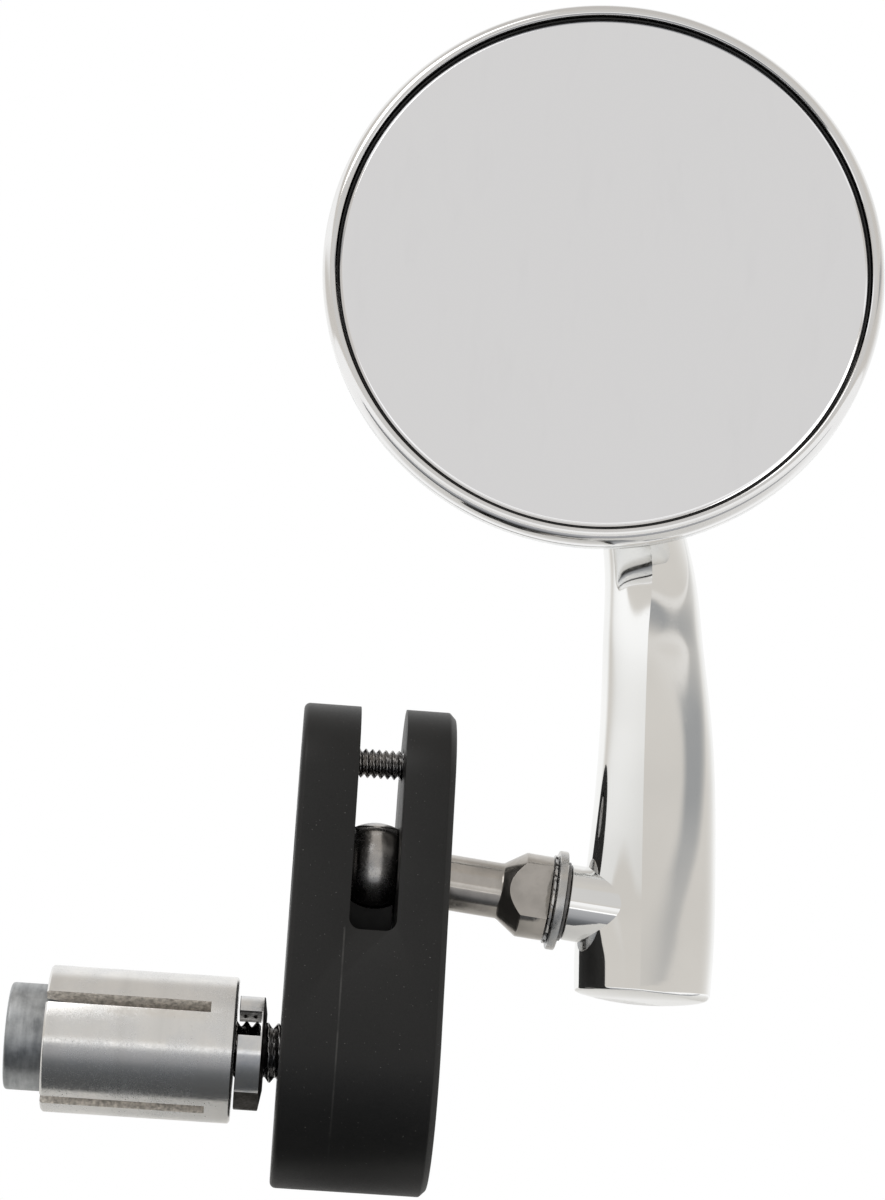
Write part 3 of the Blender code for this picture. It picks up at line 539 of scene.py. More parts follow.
RUBBER = plain_finish("seal_rubber", (0.008, 0.008, 0.008), 0.6, 1500.0, 0.02)
FOAM = plain_finish("backing_foam", (0.04, 0.04, 0.042), 0.95, 2600.0, 0.12)


# ---------------------------------------------------------------- pieces


def finish_piece(obj, node, slot, *materials):
    """Gives a piece its finishes and lets it stand for a CAD node on that node's own body."""
    obj.data.materials.clear()
    for material in materials:
        obj.data.materials.append(material)
    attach(obj, frame["nodes"][node]["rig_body"])
    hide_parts(node)


def arm_outline(inset):
    """The arm's outline in Y and Z: two arcs whose shared tangents are the sides."""
    lean = asin((ARM_FOOT_RADIUS - ARM_HEAD_RADIUS) / ARM_HEAD_HEIGHT) * 180 / pi
    top = circle_arc((0.0, ARM_HEAD_HEIGHT), ARM_HEAD_RADIUS - inset, lean, 180 - lean, 56)
    return top + circle_arc((0.0, 0.0), ARM_FOOT_RADIUS - inset, 180 - lean, 360 + lean, 72)


def make_arm():
    """The billet arm, rounded at its left edge and chamfered at its right one."""
    round_left, cut_right, ease = 0.8, 0.88, 0.18
    stations = [(round_left * (1 - cos(a)), round_left * (1 - sin(a))) for a in np.linspace(0.0, pi / 2, 6)]
    far = ARM_THICKNESS
    corners = [(0.0, round_left), (far - cut_right, 0.0, ease), (far, cut_right, ease)]
    corners.append((far, cut_right + 2.0))
    stations += rounded(corners, 3)[1:-1]
    arm = loft("clamp_arm_body", [[(x, y, z) for y, z in arm_outline(inset)] for x, inset in stations])

    start, end, floor = SLOT
    left = circle_arc((start + SLOT_CORNER, floor + SLOT_CORNER), SLOT_CORNER, 180, 270, 8)
    right = circle_arc((end - SLOT_CORNER, floor + SLOT_CORNER), SLOT_CORNER, 270, 360, 8)
    profile = left + right + [(end, ARM_HEAD_HEIGHT + REACH), (start, ARM_HEAD_HEIGHT + REACH)]
    combine(arm, loft("slot", [[(x, y, z) for x, z in profile] for y in (-REACH, REACH)]))

    # the ball's socket meets a cone that leaves room for the stud's swing
    clear = BALL_RADIUS + GAP
    throat = STUD_RADIUS / cos(STUD_SWING) + THIN_GAP
    slope = tan(STUD_SWING)
    meet = (-throat * slope + sqrt(clear**2 * (1 + slope**2) - throat**2)) / (1 + slope**2)
    to_slot = end - BALL.x
    edge_angle, meet_angle = asin(to_slot / clear), asin(meet / clear)
    socket = [(clear * sin(a), clear * cos(a)) for a in np.linspace(edge_angle, meet_angle, 12)]
    section = [(to_slot - 1.0, 0.0), (to_slot - 1.0, clear * cos(edge_angle)), *socket]
    combine(arm, revolve("socket", section + [(REACH, throat + slope * REACH), (REACH, 0.0)], SEAT, 96))
    drill(arm, "retainer_bore", RETAINER_RADIUS + GAP, -REACH, 0.0, SEAT, 96)
    for name, radius, head, depth, place in (
        ("bolt_hole", BOLT_RADIUS + GAP, 6.7, BOLT_COUNTERBORE, BAR),
        ("pinch_hole", PINCH_RADIUS + GAP, 3.7, PINCH_COUNTERBORE, PINCH),
    ):
        seat = ARM_THICKNESS - depth
        section = [(-REACH, 0.0), (-REACH, radius), (seat, radius), (seat, head), (REACH, head), (REACH, 0.0)]
        combine(arm, revolve(name, section, place, 96))
    ease_edges(arm, 0.22, 42.0)
    finish_piece(arm, "clamp_arm", "black_anodised", ANODISED)


def make_retainer():
    """The plug that holds the ball in: hollowed to it, with a hexagonal socket and two spanner holes."""
    recess, hexagon, socket_depth, hole_circle, hole_radius = 0.6, 6.0, 2.2, 5.2, 0.6
    clear = BALL_RADIUS + GAP
    outer = recess - BALL.x
    face = SLOT[0] - GAP - BALL.x
    rim = asin(-face / clear) * 180 / pi
    section = rounded([(outer, 0.0), (outer, RETAINER_RADIUS, 0.45), (face, RETAINER_RADIUS, 0.15)], 3)
    section += circle_arc((0.0, 0.0), clear, 90 + rim, 180, 16)
    section[-1] = (-clear, 0.0)
    plug = revolve("retainer_plug", section, SEAT, 96)
    combine(plug, prism("retainer_hex", hexagon, -REACH, outer + socket_depth, SEAT, 0.2))
    low, high = outer - 1.0, outer + 1.0
    for angle in (0.0, pi):
        centre = Matrix.Translation((0.0, hole_circle * cos(angle), hole_circle * sin(angle)))
        section = [(low, 0.0), (low, hole_radius), (high, hole_radius), (outer + 1.3, 0.0)]
        combine(plug, revolve("spanner_hole", section, SEAT @ centre, 24))
    ease_edges(plug, 0.08, 45.0)
    finish_piece(plug, "ball_retainer_plug", "dark_steel", DARK_BOLT)


def make_ball_cup():
    """The black cup on the slot's floor, hollowed to the ball."""
    low, high = 7.95 - BALL.x, 13.65 - BALL.x
    bottom, top, cut = 16.1 - BALL.z, 23.4 - BALL.z, 1.3
    corners = [(low, top), (low, bottom, cut), (high, bottom, cut), (high, top)]
    profile = rounded(corners, 6)
    cup = loft("ball_cup_piece", [[(x, y, z) for x, z in profile] for y in (-3.6, 10.5)], SEAT)
    clear = BALL_RADIUS + GAP
    section = [(clear * cos(a), clear * sin(a)) for a in np.linspace(0.0, pi, 40)]
    section[0], section[-1] = (clear, 0.0), (-clear, 0.0)
    combine(cup, revolve("cup_hollow", section, SEAT, 96))
    ease_edges(cup, 0.12, 45.0)
    finish_piece(cup, "ball_cup", "rubber", RUBBER)


def make_cap_screw(name, seat, top, head, radius, hexagon, place, thread):
    """A socket head screw: a threaded shank and an eased, knurled head with a hexagonal socket."""
    height = top - seat
    edge = height * 0.08
    teeth, tooth_depth, skin = 64, 0.1, 0.02
    corners = [(seat, 0.0), (seat, radius + 0.4), (seat, head, edge * 0.6), (top - edge * 2.4, head),
               (top - edge * 2.2, head), (top - edge * 1.2, head, 0.05), (top, head - edge * 1.2, edge * 0.6),
               (top, 0.0)]
    cap = revolve(name, rounded(corners, 3), place, teeth * 2)
    middle = place.translation * MM
    for vertex in cap.data.vertices:
        offset = Vector((vertex.co.y - middle.y, vertex.co.z - middle.z))
        if offset.length > (head - skin) * MM and vertex.co.x < (top - edge * 2.3) * MM:
            share = (offset.angle_signed(Vector((1.0, 0.0))) % WHOLE_TURN) / WHOLE_TURN
            if round(share * teeth * 2) % 2:
                vertex.co.y -= offset.x / offset.length * tooth_depth * MM
                vertex.co.z -= offset.y / offset.length * tooth_depth * MM
    combine(cap, prism(name + "_socket", hexagon, top - height * 0.55, top + REACH, place))
    lead = hexagon * 0.5
    cone = [(top - 0.3, 0.0), (top - 0.3, lead), (top + 1.0, lead + 1.3), (top + 1.0, 0.0)]
    combine(cap, revolve(name + "_lead", cone, place, 48))
    return join(cap, thread)


def make_pinch_screw():
    washer, overlap, tip = 0.6, 0.05, 1.6
    seat = ARM_THICKNESS - PINCH_COUNTERBORE + 2 * THIN_GAP + washer
    thread = threaded("pinch_thread", tip, seat + overlap, PINCH_RADIUS, 0.46, PINCH_PITCH, PINCH, 56, 0.7)
    top = ARM_THICKNESS - THIN_GAP
    screw = make_cap_screw("pinch_screw_piece", seat, top, 3.2, PINCH_RADIUS, 2.8, PINCH, thread)
    finish_piece(screw, "pinch_screw", "dark_steel", DARK_SCREW)


def make_bar_bolt():
    washer, overlap = 1.4, 0.05
    seat = ARM_THICKNESS - BOLT_COUNTERBORE + 2 * GAP + washer
    thread = threaded("bolt_thread", BOLT_END, seat + overlap, BOLT_RADIUS, 0.72, BOLT_PITCH, BAR, 72, 1.2)
    top = ARM_THICKNESS - GAP
    bolt = make_cap_screw("bar_bolt_piece_head", seat, top, 6.2, BOLT_RADIUS, 6.35, BAR, thread)
    finish_piece(bolt, "bar_bolt", "dark_steel", DARK_BOLT)


def make_nut():
    """A round nut cut through by a wide slot, with a thin web left at its coned end and its
    thread in the bore.
    """
    far, near = NUT
    cone, cone_radius, web = 0.45, 5.0, 0.7
    corners = [(far, BOLT_RADIUS), (far, NUT_RADIUS, 0.14), (near - cone, NUT_RADIUS, 0.1),
               (near, cone_radius, 0.1), (near, BOLT_RADIUS)]
    nut = revolve("slotted_nut_piece", rounded(corners, 4), BAR, 168, ring=True)
    crest, root = 0.42, 1.1
    bore = [(far - 2.0, 0.0), (far - 2.0, BOLT_RADIUS + crest)]
    bore += [(far - 0.6 + k * BOLT_PITCH / 2, BOLT_RADIUS + (crest if k % 2 else root)) for k in range(7)]
    bore += [(near + 2.0, BOLT_RADIUS + GAP), (near + 2.0, 0.0)]
    combine(nut, revolve("nut_bore", bore, BAR, 72))
    for name, low, high, end, turn in (
        ("nut_top", NUT_TOP, REACH, near + 1.0, 0.0),
        ("nut_flat", NUT_FLAT, REACH, near + 1.0, NUT_FLAT_TURN),
        ("nut_slot", *NUT_SLOT, near - web, NUT_SLOT_TURN),
    ):
        combine(nut, block(name, (far - 1.0, -REACH, low), (end, REACH, high), BAR, turn))
    ease_edges(nut, 0.06, 20.0, lambda p: Vector((p.y, p.z)).length > 5.6)
    finish_piece(nut, "slotted_nut", "machined_aluminium", NUT_METAL, NUT_PAINTED_SHADE)
    down = Vector((0.0, -sin(NUT_FLAT_TURN), cos(NUT_FLAT_TURN)))
    wall = Vector((0.0, -sin(NUT_SLOT_TURN), cos(NUT_SLOT_TURN)))
    # the bore, the slot's walls, the lower flat and the near end get the dark second finish: painted shade
    for face in nut.data.polygons:
        inside = Vector((face.center.y, face.center.z)).length < 5.8 * MM
        slot_wall = abs(face.normal.dot(wall)) > 0.98 and face.center.z < (NUT_SLOT[1] + 0.6) * MM
        face.material_index = int(inside or slot_wall or face.normal.dot(down) > 0.99 or face.normal.x > 0.5)


def make_sleeve():
    """The sleeve, sawn by two crossing slits into four fingers round a coned mouth."""
    far, near = SLEEVE
    bore, mouth, edge = 5.2, 7.85, 0.28
    corners = [(far, mouth, 0.15), (far, SLEEVE_RADIUS - edge, 0.08), (far + edge, SLEEVE_RADIUS, 0.08)]
    corners += [(near - edge, SLEEVE_RADIUS, 0.08), (near, SLEEVE_RADIUS - edge, 0.08), (near, bore, 0.2)]
    corners += [(far + (mouth - bore) / WEDGE_SLOPE, bore)]
    sleeve = revolve("expansion_sleeve_piece", rounded(corners, 3), BAR, 168, ring=True)
    half = SLIT_WIDTH / 2
    for k in range(2):
        low, high = (far - REACH, -REACH, -half), (SLIT_END, REACH, half)
        combine(sleeve, block(f"slit_{k}", low, high, BAR, -SLIT_TURN + k * pi / 2))
    finish_piece(sleeve, "expansion_sleeve", "machined_aluminium", MACHINED, SAW_CUT)
    walls = [Vector((0.0, cos(a), sin(a))) for a in (-SLIT_TURN, pi / 2 - SLIT_TURN)]
    for face in sleeve.data.polygons:
        facing = [wall for wall in walls if abs(face.normal.dot(wall)) > 0.97]
        off = [abs(abs(face.center.dot(wall)) / MM - half) for wall in facing]
        slit_end = abs(face.center.x / MM - SLIT_END) < 0.05 and face.normal.x < -0.9
        face.material_index = int(slit_end or (bool(off) and min(off) < 0.03))


def make_wedge():
    """The cast nut whose cone spreads the sleeve's fingers."""
    far, cone, near = WEDGE
    tip = WEDGE_RADIUS - WEDGE_SLOPE * (near - cone)
    hole = BOLT_RADIUS + GAP
    corners = [(far, hole, 0.4), (far, WEDGE_RADIUS, 0.5), (cone, WEDGE_RADIUS), (near, tip, 0.3),
               (near, hole, 0.2)]
    wedge = revolve("wedge_nut_piece", rounded(corners, 6), BAR, 144, ring=True)
    finish_piece(wedge, "wedge_nut", "cast_zinc", CAST)


def make_ball():
    """The ball, with a fine turned groove near its top."""
    groove_turn, groove_half, groove_depth = radians(31.0), radians(2.2), 0.12
    section = []
    for angle in np.linspace(0.0, pi, 90):
        in_groove = abs(angle - groove_turn) < groove_half
        radius = BALL_RADIUS - (groove_depth if in_groove else 0.0)
        section.append((radius * cos(angle), abs(radius * sin(angle)) if 0.0 < angle < pi else 0.0))
    ball = revolve("ball_piece", section, SEAT @ Matrix.Rotation(-pi / 2, 4, "Y"), 96)
    finish_piece(ball, "ball", "stainless", BALL_METAL)


def make_stud():
    """The stud: seated on the ball, with a collar that has two wrench flats, and a plain end."""
    clear = BALL_RADIUS + GAP
    rim = asin(STUD_RADIUS / clear) * 180 / pi
    cone, collar, end = COLLAR
    section = [(clear, 0.0)] + circle_arc((0.0, 0.0), clear, 0.0, rim, 6)[1:]
    corners = [(clear, STUD_RADIUS), (cone, STUD_RADIUS, 0.25), (collar, COLLAR_RADIUS, 0.12),
               (end, COLLAR_RADIUS, 0.1), (end, STUD_THREAD)]
    section += rounded(corners, 3)[1:]
    section += [(end + 0.6, STUD_THREAD), (STUD_END, STUD_THREAD), (STUD_END, 0.0)]
    stud = revolve("ball_stud_piece", section, STUD, 144)
    half = COLLAR_FLATS / 2
    for name, low, high in (("flat_front", -REACH, -half), ("flat_rear", half, REACH)):
        start, stop = (cone - 1.0, low, -REACH), (end + 0.2, high, REACH)
        combine(stud, block(name, start, stop, STUD, -COLLAR_FLAT_TURN))
    ease_edges(stud, 0.06, 25.0, lambda p: 20.0 < p.x < 37.0)
    finish_piece(stud, "ball_stud", "stainless", STUD_METAL)


def make_washers():
    """The toothed, flange and thin washers, one after another on the stud's plain end."""
    hole = STUD_THREAD + GAP
    start = COLLAR[2] + WASHER_GAP
    thick = 0.4
    make_tooth_washer(start, thick, hole)
    start += thick + WASHER_GAP
    for name, node, radius, thick, cut, slot, metal in (
        ("flange_washer_piece", "flange_washer", 6.7, 1.2, 0.22, "stainless", WASHER_METAL),
        ("thin_washer_piece", "thin_washer", 5.35, 0.4, 0.1, "dark_steel", DARK_STUD),
    ):
        corners = [(start, hole, 0.05), (start, radius, cut), (start + thick, radius, cut)]
        ring = revolve(name, rounded([*corners, (start + thick, hole, 0.05)], 3), STUD, 120, ring=True)
        finish_piece(ring, node, slot, metal)
        start += thick + WASHER_GAP


def make_tooth_washer(start, thick, hole):
    """A star washer: teeth that twist from one face to the other, with eased rims."""
    teeth, tooth_steps, root_step = 18, 6, 4
    tip_radius, root_radius, root_twist = 6.0, 5.75, 0.4
    count = teeth * tooth_steps
    loops = []
    for share, shrink, twist in ((0.0, 0.1, 0.0), (0.15, 0.0, 0.015), (0.85, 0.0, 0.075), (1.0, 0.1, 0.09)):
        loop = []
        for k in range(count):
            in_root = k % tooth_steps >= root_step
            radius = (root_radius if in_root else tip_radius) - shrink
            angle = WHOLE_TURN * k / count + twist * (root_twist if in_root else 1.0)
            loop.append((start + share * thick, radius * cos(angle), radius * sin(angle)))
        loops.append(loop)
    star = loft("tooth_washer_piece", loops, STUD)
    drill(star, "star_hole", hole, 0.0, REACH, STUD, 48)
    finish_piece(star, "tooth_washer", "dark_steel", WASHER_METAL)


# The stem's outline in the front view and its depths, at nine heights
STEM_STATIONS = (
    # height, left, right, crease, front, widest, back
    (11.0, 39.0, 57.2, 47.0, -7.0, -0.6, 6.0),
    (17.7, 38.8, 57.5, 46.8, -6.6, 0.0, 6.4),
    (29.5, 39.9, 57.3, 46.5, -5.8, 0.4, 6.6),
    (46.0, 40.7, 56.4, 46.2, -4.5, 1.6, 7.2),
    (58.5, 40.6, 54.7, 46.1, -3.5, 2.6, 7.9),
    (71.0, 40.3, 52.8, 46.2, -2.0, 3.8, 8.7),
    (84.0, 38.0, 48.8, 43.3, 1.75, 6.2, 9.6),
    (97.0, 33.6, 43.0, 38.4, 5.0, 7.6, 9.8),
    (107.0, 32.0, 41.0, 36.6, 5.2, 7.8, 9.8),
)
STEM_BOTTOM_ROUNDS = (0.4, 1.1, 0.25, 0.5)  # left, right, front, back
CIRCLE_HANDLE = 0.5523
STEM_FOOT = (15.0, 24.0)


def stem_values(height):
    """The stem's six driving lines at one height, smoothed through the stations."""
    table = np.array(STEM_STATIONS)
    heights = table[:, 0]
    slopes = np.gradient(table[:, 1:], heights, axis=0)
    k = int(np.clip(np.searchsorted(heights, height) - 1, 0, len(heights) - 2))
    span = heights[k + 1] - heights[k]
    t = (height - heights[k]) / span
    blend = table[k, 1:] * (2 * t**3 - 3 * t**2 + 1) + table[k + 1, 1:] * (3 * t**2 - 2 * t**3)
    return blend + span * (slopes[k] * (t**3 - 2 * t**2 + t) + slopes[k + 1] * (t**3 - t**2))


def bezier(points, steps):
    """Points along a cubic curve, without its last point."""
    p0, p1, p2, p3 = (np.array(p) for p in points)
    ts = [k / steps for k in range(steps)]
    return [(1 - t) ** 3 * p0 + 3 * t * (1 - t) ** 2 * p1 + 3 * t * t * (1 - t) * p2 + t**3 * p3 for t in ts]


def stem_section(height, rise_above, steps):
    """One closed loop of the stem: a creased front, two rounded edges and a round back. The left
    facet is rounder at the foot, and the loop shrinks close above the end face.
    """
    left, right, crease, front, widest, back = stem_values(height)
    if rise_above is not None:
        inset = [r - sqrt(r * r - max(0.0, r - rise_above) ** 2) for r in STEM_BOTTOM_ROUNDS]
        left, right, front, back = left + inset[0], right - inset[1], front + inset[2], back - inset[3]
    rise = widest - front
    middle = (left + right) / 2
    shoulder = widest + CIRCLE_HANDLE * (back - widest)
    foot = float(np.interp(height, STEM_FOOT, (1.0, 0.0)))
    level, lift = 0.68, 0.38
    inwards, upwards, roundness = level - 0.13 * foot, lift - 0.14 * foot, 0.62 - 0.16 * foot
    turned = widest + 1.6 * foot

    def facet(edge):
        if edge == right:
            handle = (crease + level * (edge - crease), front + lift * rise)
            return ((crease, front), handle, (edge, widest - 0.42 * rise), (edge, widest))
        handle = (crease + inwards * (edge - crease), front + upwards * rise)
        return ((crease, front), handle, (edge, turned - roundness * (turned - front)), (edge, turned))

    def rear(edge):
        handle = (middle + CIRCLE_HANDLE * (edge - middle), back)
        return ((edge, turned if edge == left else widest), (edge, shoulder), handle, (middle, back))

    quarters = (facet(left), rear(left), rear(right)[::-1], facet(right)[::-1])
    return [point for quarter in quarters for point in bezier(quarter, steps)]


def stem_end_drop(x, y, height):
    """How far the leaning end face moves a point of the stem along Z, fading out above the end."""
    lowest, left = STEM_STATIONS[0][:2]
    reach, lean_right, lean_back, curl_back = 20.0, 0.035, 0.03, 0.0167
    fade = max(0.0, 1.0 - (height - lowest) / reach)
    return -fade * (lean_right * (x - left) + lean_back * y + curl_back * max(0.0, y) ** 2)


def make_stem():
    """The polished stem with its boss for the stud and its pad behind the head, bored for both."""
    lowest, highest = STEM_STATIONS[0][0], STEM_STATIONS[-1][0]
    rings, steps, top_round = 110, 20, max(STEM_BOTTOM_ROUNDS)
    heights = [(lowest + top_round * rise, top_round * rise)
               for rise in (0.0, 0.03, 0.1, 0.2, 0.35, 0.55, 0.78, 1.0)]
    lowest += top_round
    heights += [(lowest + (highest - lowest) * (k + 1) / rings, None) for k in range(rings)]
    loops = []
    for height, rise in heights:
        section = stem_section(height, rise, steps)
        loops.append([(x, y, height + stem_end_drop(x, y, height)) for x, y in section])
    stem = loft("mirror_stem_piece", loops)

    end = BOSS_FACE + BOSS_DEPTH
    corners = [(BOSS_FACE, 0.0), (BOSS_FACE, BOSS_RADIUS, 0.25), (end, BOSS_RADIUS), (end, 0.0)]
    combine(stem, revolve("boss", rounded(corners), STUD), "UNION")
    front = DOME_APEX + GAP
    corners = [(front, 0.0), (front, PAD_RADIUS, 0.3), (PAD_BACK, PAD_RADIUS, 2.2), (PAD_BACK, 0.0)]
    combine(stem, revolve("pad", rounded(corners, 8), HEAD, 120), "UNION")

    mouth, bore, bore_end, tip = BOSS_FACE - 5.0, 3.5, 38.8, 40.3
    section = [(mouth, 0.0), (mouth, bore), (bore_end, bore), (tip, 0.0)]
    combine(stem, revolve("stud_bore", section, STUD, 48))
    drill(stem, "pad_hole", SCREW_HOLE, 0.0, PAD_BACK - 1.4, HEAD, 48)
    drill(stem, "pin_hole", PIN_HOLE, 0.0, PIN_HOLE_END, PIN, 32)
    shade(stem.data, 22.0)
    finish_piece(stem, "mirror_stem", "polished_aluminium", POLISHED)


def dome(radius, wall=0.0):
    """Where the shell's domed back lies along the head's axis."""
    return DOME_APEX - wall - radius**2 / (2 * DOME_RADIUS)


def make_shell():
    """The dished shell, with a flat land for the stem's pad and holes for the screw and the pin."""
    shoulder, land, wall, lip, lip_front = 37.4, 10.5, 2.0, 38.25, -5.8
    outside = [(dome(r), r) for r in np.linspace(shoulder - 0.8, land + 0.7, 26)]
    inside = [(dome(r, wall), r) for r in np.linspace(9.0, 34.6, 14)]
    corners = [(lip_front, lip), (lip_front, HEAD_RADIUS, 0.18), (dome(shoulder) - 0.8, HEAD_RADIUS, 1.3),
               outside[0]]
    section = rounded(corners, 6) + outside[1:] + [(DOME_APEX, land), (DOME_APEX, SCREW_HOLE)]
    section += [(DOME_APEX - wall, SCREW_HOLE), (DOME_APEX - wall, 8.0)] + inside + [(inside[-1][0], lip)]
    shell = revolve("head_shell_piece", section, HEAD, 256, ring=True)
    drill(shell, "shell_pin_hole", PIN_HOLE, 0.0, PIN_HOLE_END, PIN, 32)
    finish_piece(shell, "head_shell", "satin_aluminium", SHELL)


def make_bezel():
    """The rim: a quarter roll from the shell's edge to a small lip over the seal."""
    outer, inner, front, joint, lip = HEAD_RADIUS, BEZEL_INNER, BEZEL_FRONT, 38.05, 0.35
    roll = [(front + 1.9 * (1 - cos(a)), inner + lip + (outer - inner - lip) * sin(a))
            for a in np.linspace(0.0, pi / 2, 22)]
    section = [(-6.1, joint), (-6.1, outer - 0.1), (-6.05, outer)] + roll[::-1]
    section += [(front + 0.06, inner + 0.16), (front + 0.22, inner + 0.03), (front + 0.5, inner)]
    section += [(-4.0, inner), (-4.0, joint)]
    bezel = revolve("bezel_ring_piece", section, HEAD, 256, ring=True)
    finish_piece(bezel, "bezel_ring", "satin_aluminium", RIM)


def make_seal():
    """The thin black ring round the glass."""
    front, back = GLASS_FACES
    inner, outer = SEAL_RADII
    section = [(front + 0.1, inner), (front + 0.02, inner + 0.1), (front + 0.1, outer), (back, outer),
               (back, inner)]
    seal = revolve("seal_ring_piece", section, HEAD, 256, ring=True)
    finish_piece(seal, "seal_ring", "rubber", RUBBER)


def make_glass():
    """The flat glass, with a ground edge."""
    front, back = GLASS_FACES
    bevel, bevel_depth = 0.55, 0.3
    corners = [(front, 0.0), (front, 20.0), (front, GLASS_RADIUS - bevel, 0.06),
               (front + bevel_depth, GLASS_RADIUS, 0.08), (back, GLASS_RADIUS, 0.1), (back, 0.0)]
    glass = revolve("mirror_glass_piece", rounded(corners, 3), HEAD, 256)
    finish_piece(glass, "mirror_glass", "mirror_glass", GLASS)


def finish_cad_nodes():
    """The CAD nodes that stay shown get their own finishes."""
    metals = {
        "bar_bolt_washer": PLAIN_WASHER,
        "pinch_washer": PLAIN_WASHER,
        "stem_screw": HIDDEN_STEEL,
        "stem_screw_washer": HIDDEN_STEEL,
        "locating_pin": HIDDEN_STEEL,
        "backing_plate": HIDDEN_STEEL,
        "foam_pad": FOAM,
    }
    for name, material in metals.items():
        mesh = frame["nodes"][name].data
        mesh.materials.clear()
        mesh.materials.append(material)


# ---------------------------------------------------------------- studio


def make_camera():
    """A long lens in front, close to the floor and looking up."""
    place, swing, raised, rolled = (-1.913, -404.16, -19.24), radians(-2.8), radians(11.5), radians(3.7)
    data = bpy.data.cameras.new("camera")
    data.lens = 90.0
    data.sensor_width = 36.0
    data.clip_start = 0.01
    camera = bpy.data.objects.new("camera", data)
    turn = Matrix.Rotation(swing, 4, "Z") @ Matrix.Rotation(pi / 2, 4, "X")
    turn = turn @ Matrix.Rotation(raised, 4, "X") @ Matrix.Rotation(rolled, 4, "Z")
    camera.matrix_world = Matrix.Translation([value * MM for value in place]) @ turn
    bpy.context.scene.collection.objects.link(camera)
    bpy.context.scene.camera = camera


def make_world():
    """White to the camera. To the metal: a warm room in front, a softbox to the left and a grey
    flag to the right.
    """
    world = bpy.data.worlds.new("studio")
    bpy.context.scene.world = world
    world.use_nodes = True
    world.node_tree.nodes.clear()
    f = Nodes(world.node_tree)
    times, between = f.times, f.between

    # turn is the direction's angle in degrees from the front, positive to the right. rise is its
    # angle above level.
    parts = f.node("SeparateXYZ", {0: f.node("TexCoord").outputs["Generated"]})
    front = times(parts.outputs["Y"], -1.0)
    turn = times(f.maths("ARCTAN2", parts.outputs["X"], front), 180 / pi)
    rise = times(f.maths("ARCSINE", parts.outputs["Z"]), 180 / pi)
    high = f.above(rise, 19.5)

    warm, pale, overhead = (0.66, 0.635, 0.6), (0.97, 0.97, 0.965), (0.62, 0.6, 0.575)
    flag_grey, neutral = (0.35, 0.355, 0.36), (0.672, 0.663, 0.65)
    behind = f.maths("SUBTRACT", 1.0, times(between(turn, -128.0, -98.0), between(turn, 136.0, 70.0)))
    colour = f.blend(behind, warm, pale)

    # the softbox, whose lower edge slopes and whose right edge leans
    lower_edge = f.line(turn, -0.09, 7.4)
    over_lower_edge = f.maths("SUBTRACT", rise, lower_edge)
    softbox = times(between(f.line(high, 3.5, turn), -43.0, -45.5), between(turn, -150.0, -120.0))
    box_colour = f.blend(between(rise, 13.0, 21.0), (0.77, 0.765, 0.75), (1.03, 1.03, 1.03))
    colour = f.blend(times(softbox, between(over_lower_edge, -3.0, 3.0)), colour, box_colour)

    # the flag's leaning left edge, with a line of light along it, and its softer right edge
    left_edge = f.line(f.above(rise, 13.5), 1.2, f.line(high, 4.6, 46.0))
    right_edge = f.line(rise, 4.0, 6.0)
    softness = f.maths("MAXIMUM", f.line(rise, 1.7, -17.0), 1.5)
    past_left = f.maths("SUBTRACT", turn, left_edge)
    past_right = f.maths("DIVIDE", f.maths("SUBTRACT", turn, right_edge), softness)
    light = times(between(past_left, -10.0, -4.0), between(past_left, 2.0, -2.0))
    light = times(light, between(rise, 18.0, 22.0))
    colour = f.blend(times(light, 0.5), colour, (0.92, 0.91, 0.9))
    flag = times(between(past_left, -1.0, 3.0), between(past_right, 1.0, -1.0))
    strength = times(f.ramp(rise, 8.0, 16.5, 0.2, 1.0), f.ramp(rise, 20.0, 23.0, 1.0, 0.3))
    colour = f.blend(times(flag, strength), colour, flag_grey)

    # the part of the room that faces the glass, and the ceiling
    facing = times(between(turn, -36.0, -26.0), between(turn, 36.0, 26.0))
    facing = times(facing, times(between(rise, 0.0, 6.0), between(rise, 46.0, 38.0)))
    colour = f.blend(facing, colour, neutral)
    colour = f.blend(between(rise, 50.0, 72.0), colour, overhead)

    tent = f.node("Background", {"Color": colour})
    backdrop = f.node("Background", {"Color": (1.0, 1.0, 1.0)})
    rays = f.node("LightPath").outputs["Is Camera Ray"]
    mix = f.node("MixShader", {0: rays, 1: tent.outputs[0], 2: backdrop.outputs[0]})
    f.feed(f.node("OutputWorld").inputs["Surface"], mix.outputs[0])


def make_floor():
    """A pale floor just under the arm's foot, easing to the white of the backdrop far out."""
    height, radius, fade_start, fade_end = -24.5, 4000.0, 100.0, 340.0
    bm = bmesh.new()
    bmesh.ops.create_circle(bm, cap_ends=True, segments=96, radius=radius)
    floor = to_object("floor", bm, Matrix.Translation((0.0, 0.0, height)))
    f = Finish("floor", (0.86, 0.86, 0.85), 0.9, 0.0, 0.2)
    fade = f.ramp(f.vector("LENGTH", f.place), fade_start * MM, fade_end * MM)
    emission = f.node("Emission", {"Color": (1.0, 1.0, 1.0), "Strength": 1.0})
    mix = f.node("MixShader", {0: fade, 1: f.shader.outputs[0], 2: emission.outputs[0]})
    f.feed(f.tree.nodes["Material Output"].inputs["Surface"], mix.outputs[0])
    floor.data.materials.append(f.material)


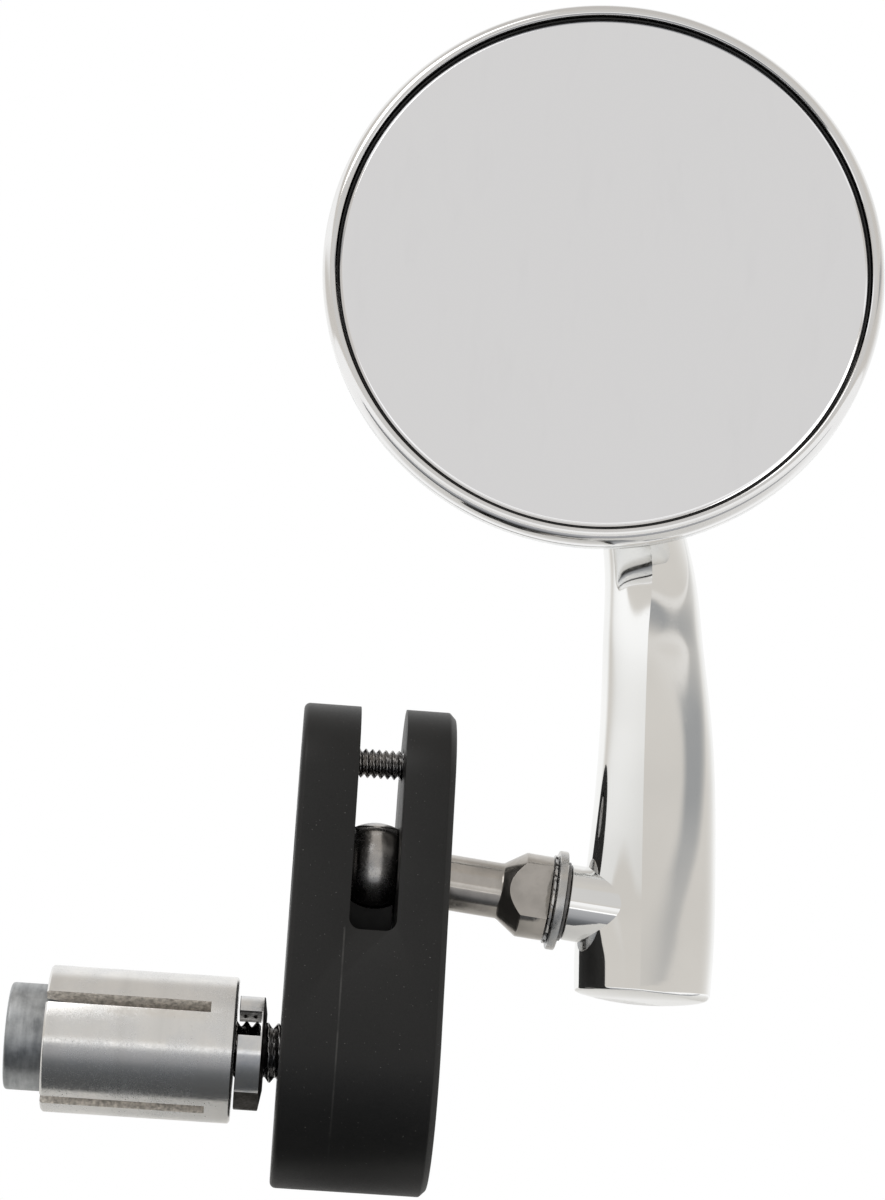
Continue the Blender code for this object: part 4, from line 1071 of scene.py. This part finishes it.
def make_card(name, corners, stops):
    """A card that only shiny surfaces see. Its colour runs through (Y in millimetres, colour) stops."""
    bm = bmesh.new()
    bm.faces.new([bm.verts.new(corner) for corner in corners])
    card = to_object(name, bm)
    f = Finish(name, (0.0, 0.0, 0.0), 1.0, 0.0)
    colour = stops[0][1]
    value = f.node("SeparateXYZ", {0: f.place}).outputs["Y"]
    for (start, _), (end, next_colour) in zip(stops, stops[1:]):
        colour = f.blend(f.ramp(value, start * MM, end * MM), colour, next_colour)
    emission = f.node("Emission", {"Color": colour, "Strength": 1.0})
    f.feed(f.tree.nodes["Material Output"].inputs["Surface"], emission.outputs[0])
    card.data.materials.append(f.material)
    card.visible_camera = False
    card.visible_diffuse = False
    card.visible_shadow = False
    card.visible_transmission = False


def make_light(name, place, target, size, power):
    """A rectangular lamp that points at a target, placed in metres."""
    data = bpy.data.lights.new(name, "AREA")
    data.shape = "RECTANGLE"
    data.size, data.size_y = size
    data.energy = power
    light = bpy.data.objects.new(name, data)
    direction = Vector(target) - Vector(place)
    light.matrix_world = Matrix.Translation(place) @ direction.to_track_quat("-Z", "Y").to_matrix().to_4x4()
    bpy.context.scene.collection.objects.link(light)


def make_studio():
    """The world, the floor, a sloping card that darkens towards the mirror, a bright strip at the
    card's far end, and the key light.
    """
    make_world()
    make_floor()
    far, left, right, near = -87.0, -300.0, 400.0, -6.6
    far_height, slope = -12.5, 0.127
    edge = ((left, far), (right, far), (right, -60.0), (42.0, -34.0), (34.0, -14.0), (5.0, -8.0),
            (-4.0, near), (left, near))
    table = [(x, y, far_height - (y - far) * slope) for x, y in edge]
    stops = (
        (far, (0.47, 0.475, 0.49)),
        (-52.0, (0.39, 0.395, 0.41)),
        (-39.0, (0.3, 0.305, 0.32)),
        (-30.0, (0.16, 0.168, 0.178)),
        (-22.0, (0.105, 0.11, 0.116)),
        (-13.0, (0.085, 0.088, 0.09)),
    )
    make_card("table_card", table, stops)
    low, high = -16.5, -6.5
    strip = ((left, far, low), (right, far, low), (right, far, high), (left, far, high))
    make_card("bright_strip", strip, ((far, (1.25, 1.25, 1.25)),))
    make_light("key_light", (-0.5, -0.7, 0.9), (0.02, 0.0, 0.06), (0.6, 0.6), 2.0)


make_arm()
make_retainer()
make_ball_cup()
make_pinch_screw()
make_bar_bolt()
make_nut()
make_sleeve()
make_wedge()
make_ball()
make_stud()
make_washers()
make_stem()
make_shell()
make_bezel()
make_seal()
make_glass()
finish_cad_nodes()
make_camera()
make_studio()
bpy.context.scene.view_settings.view_transform = "Standard"
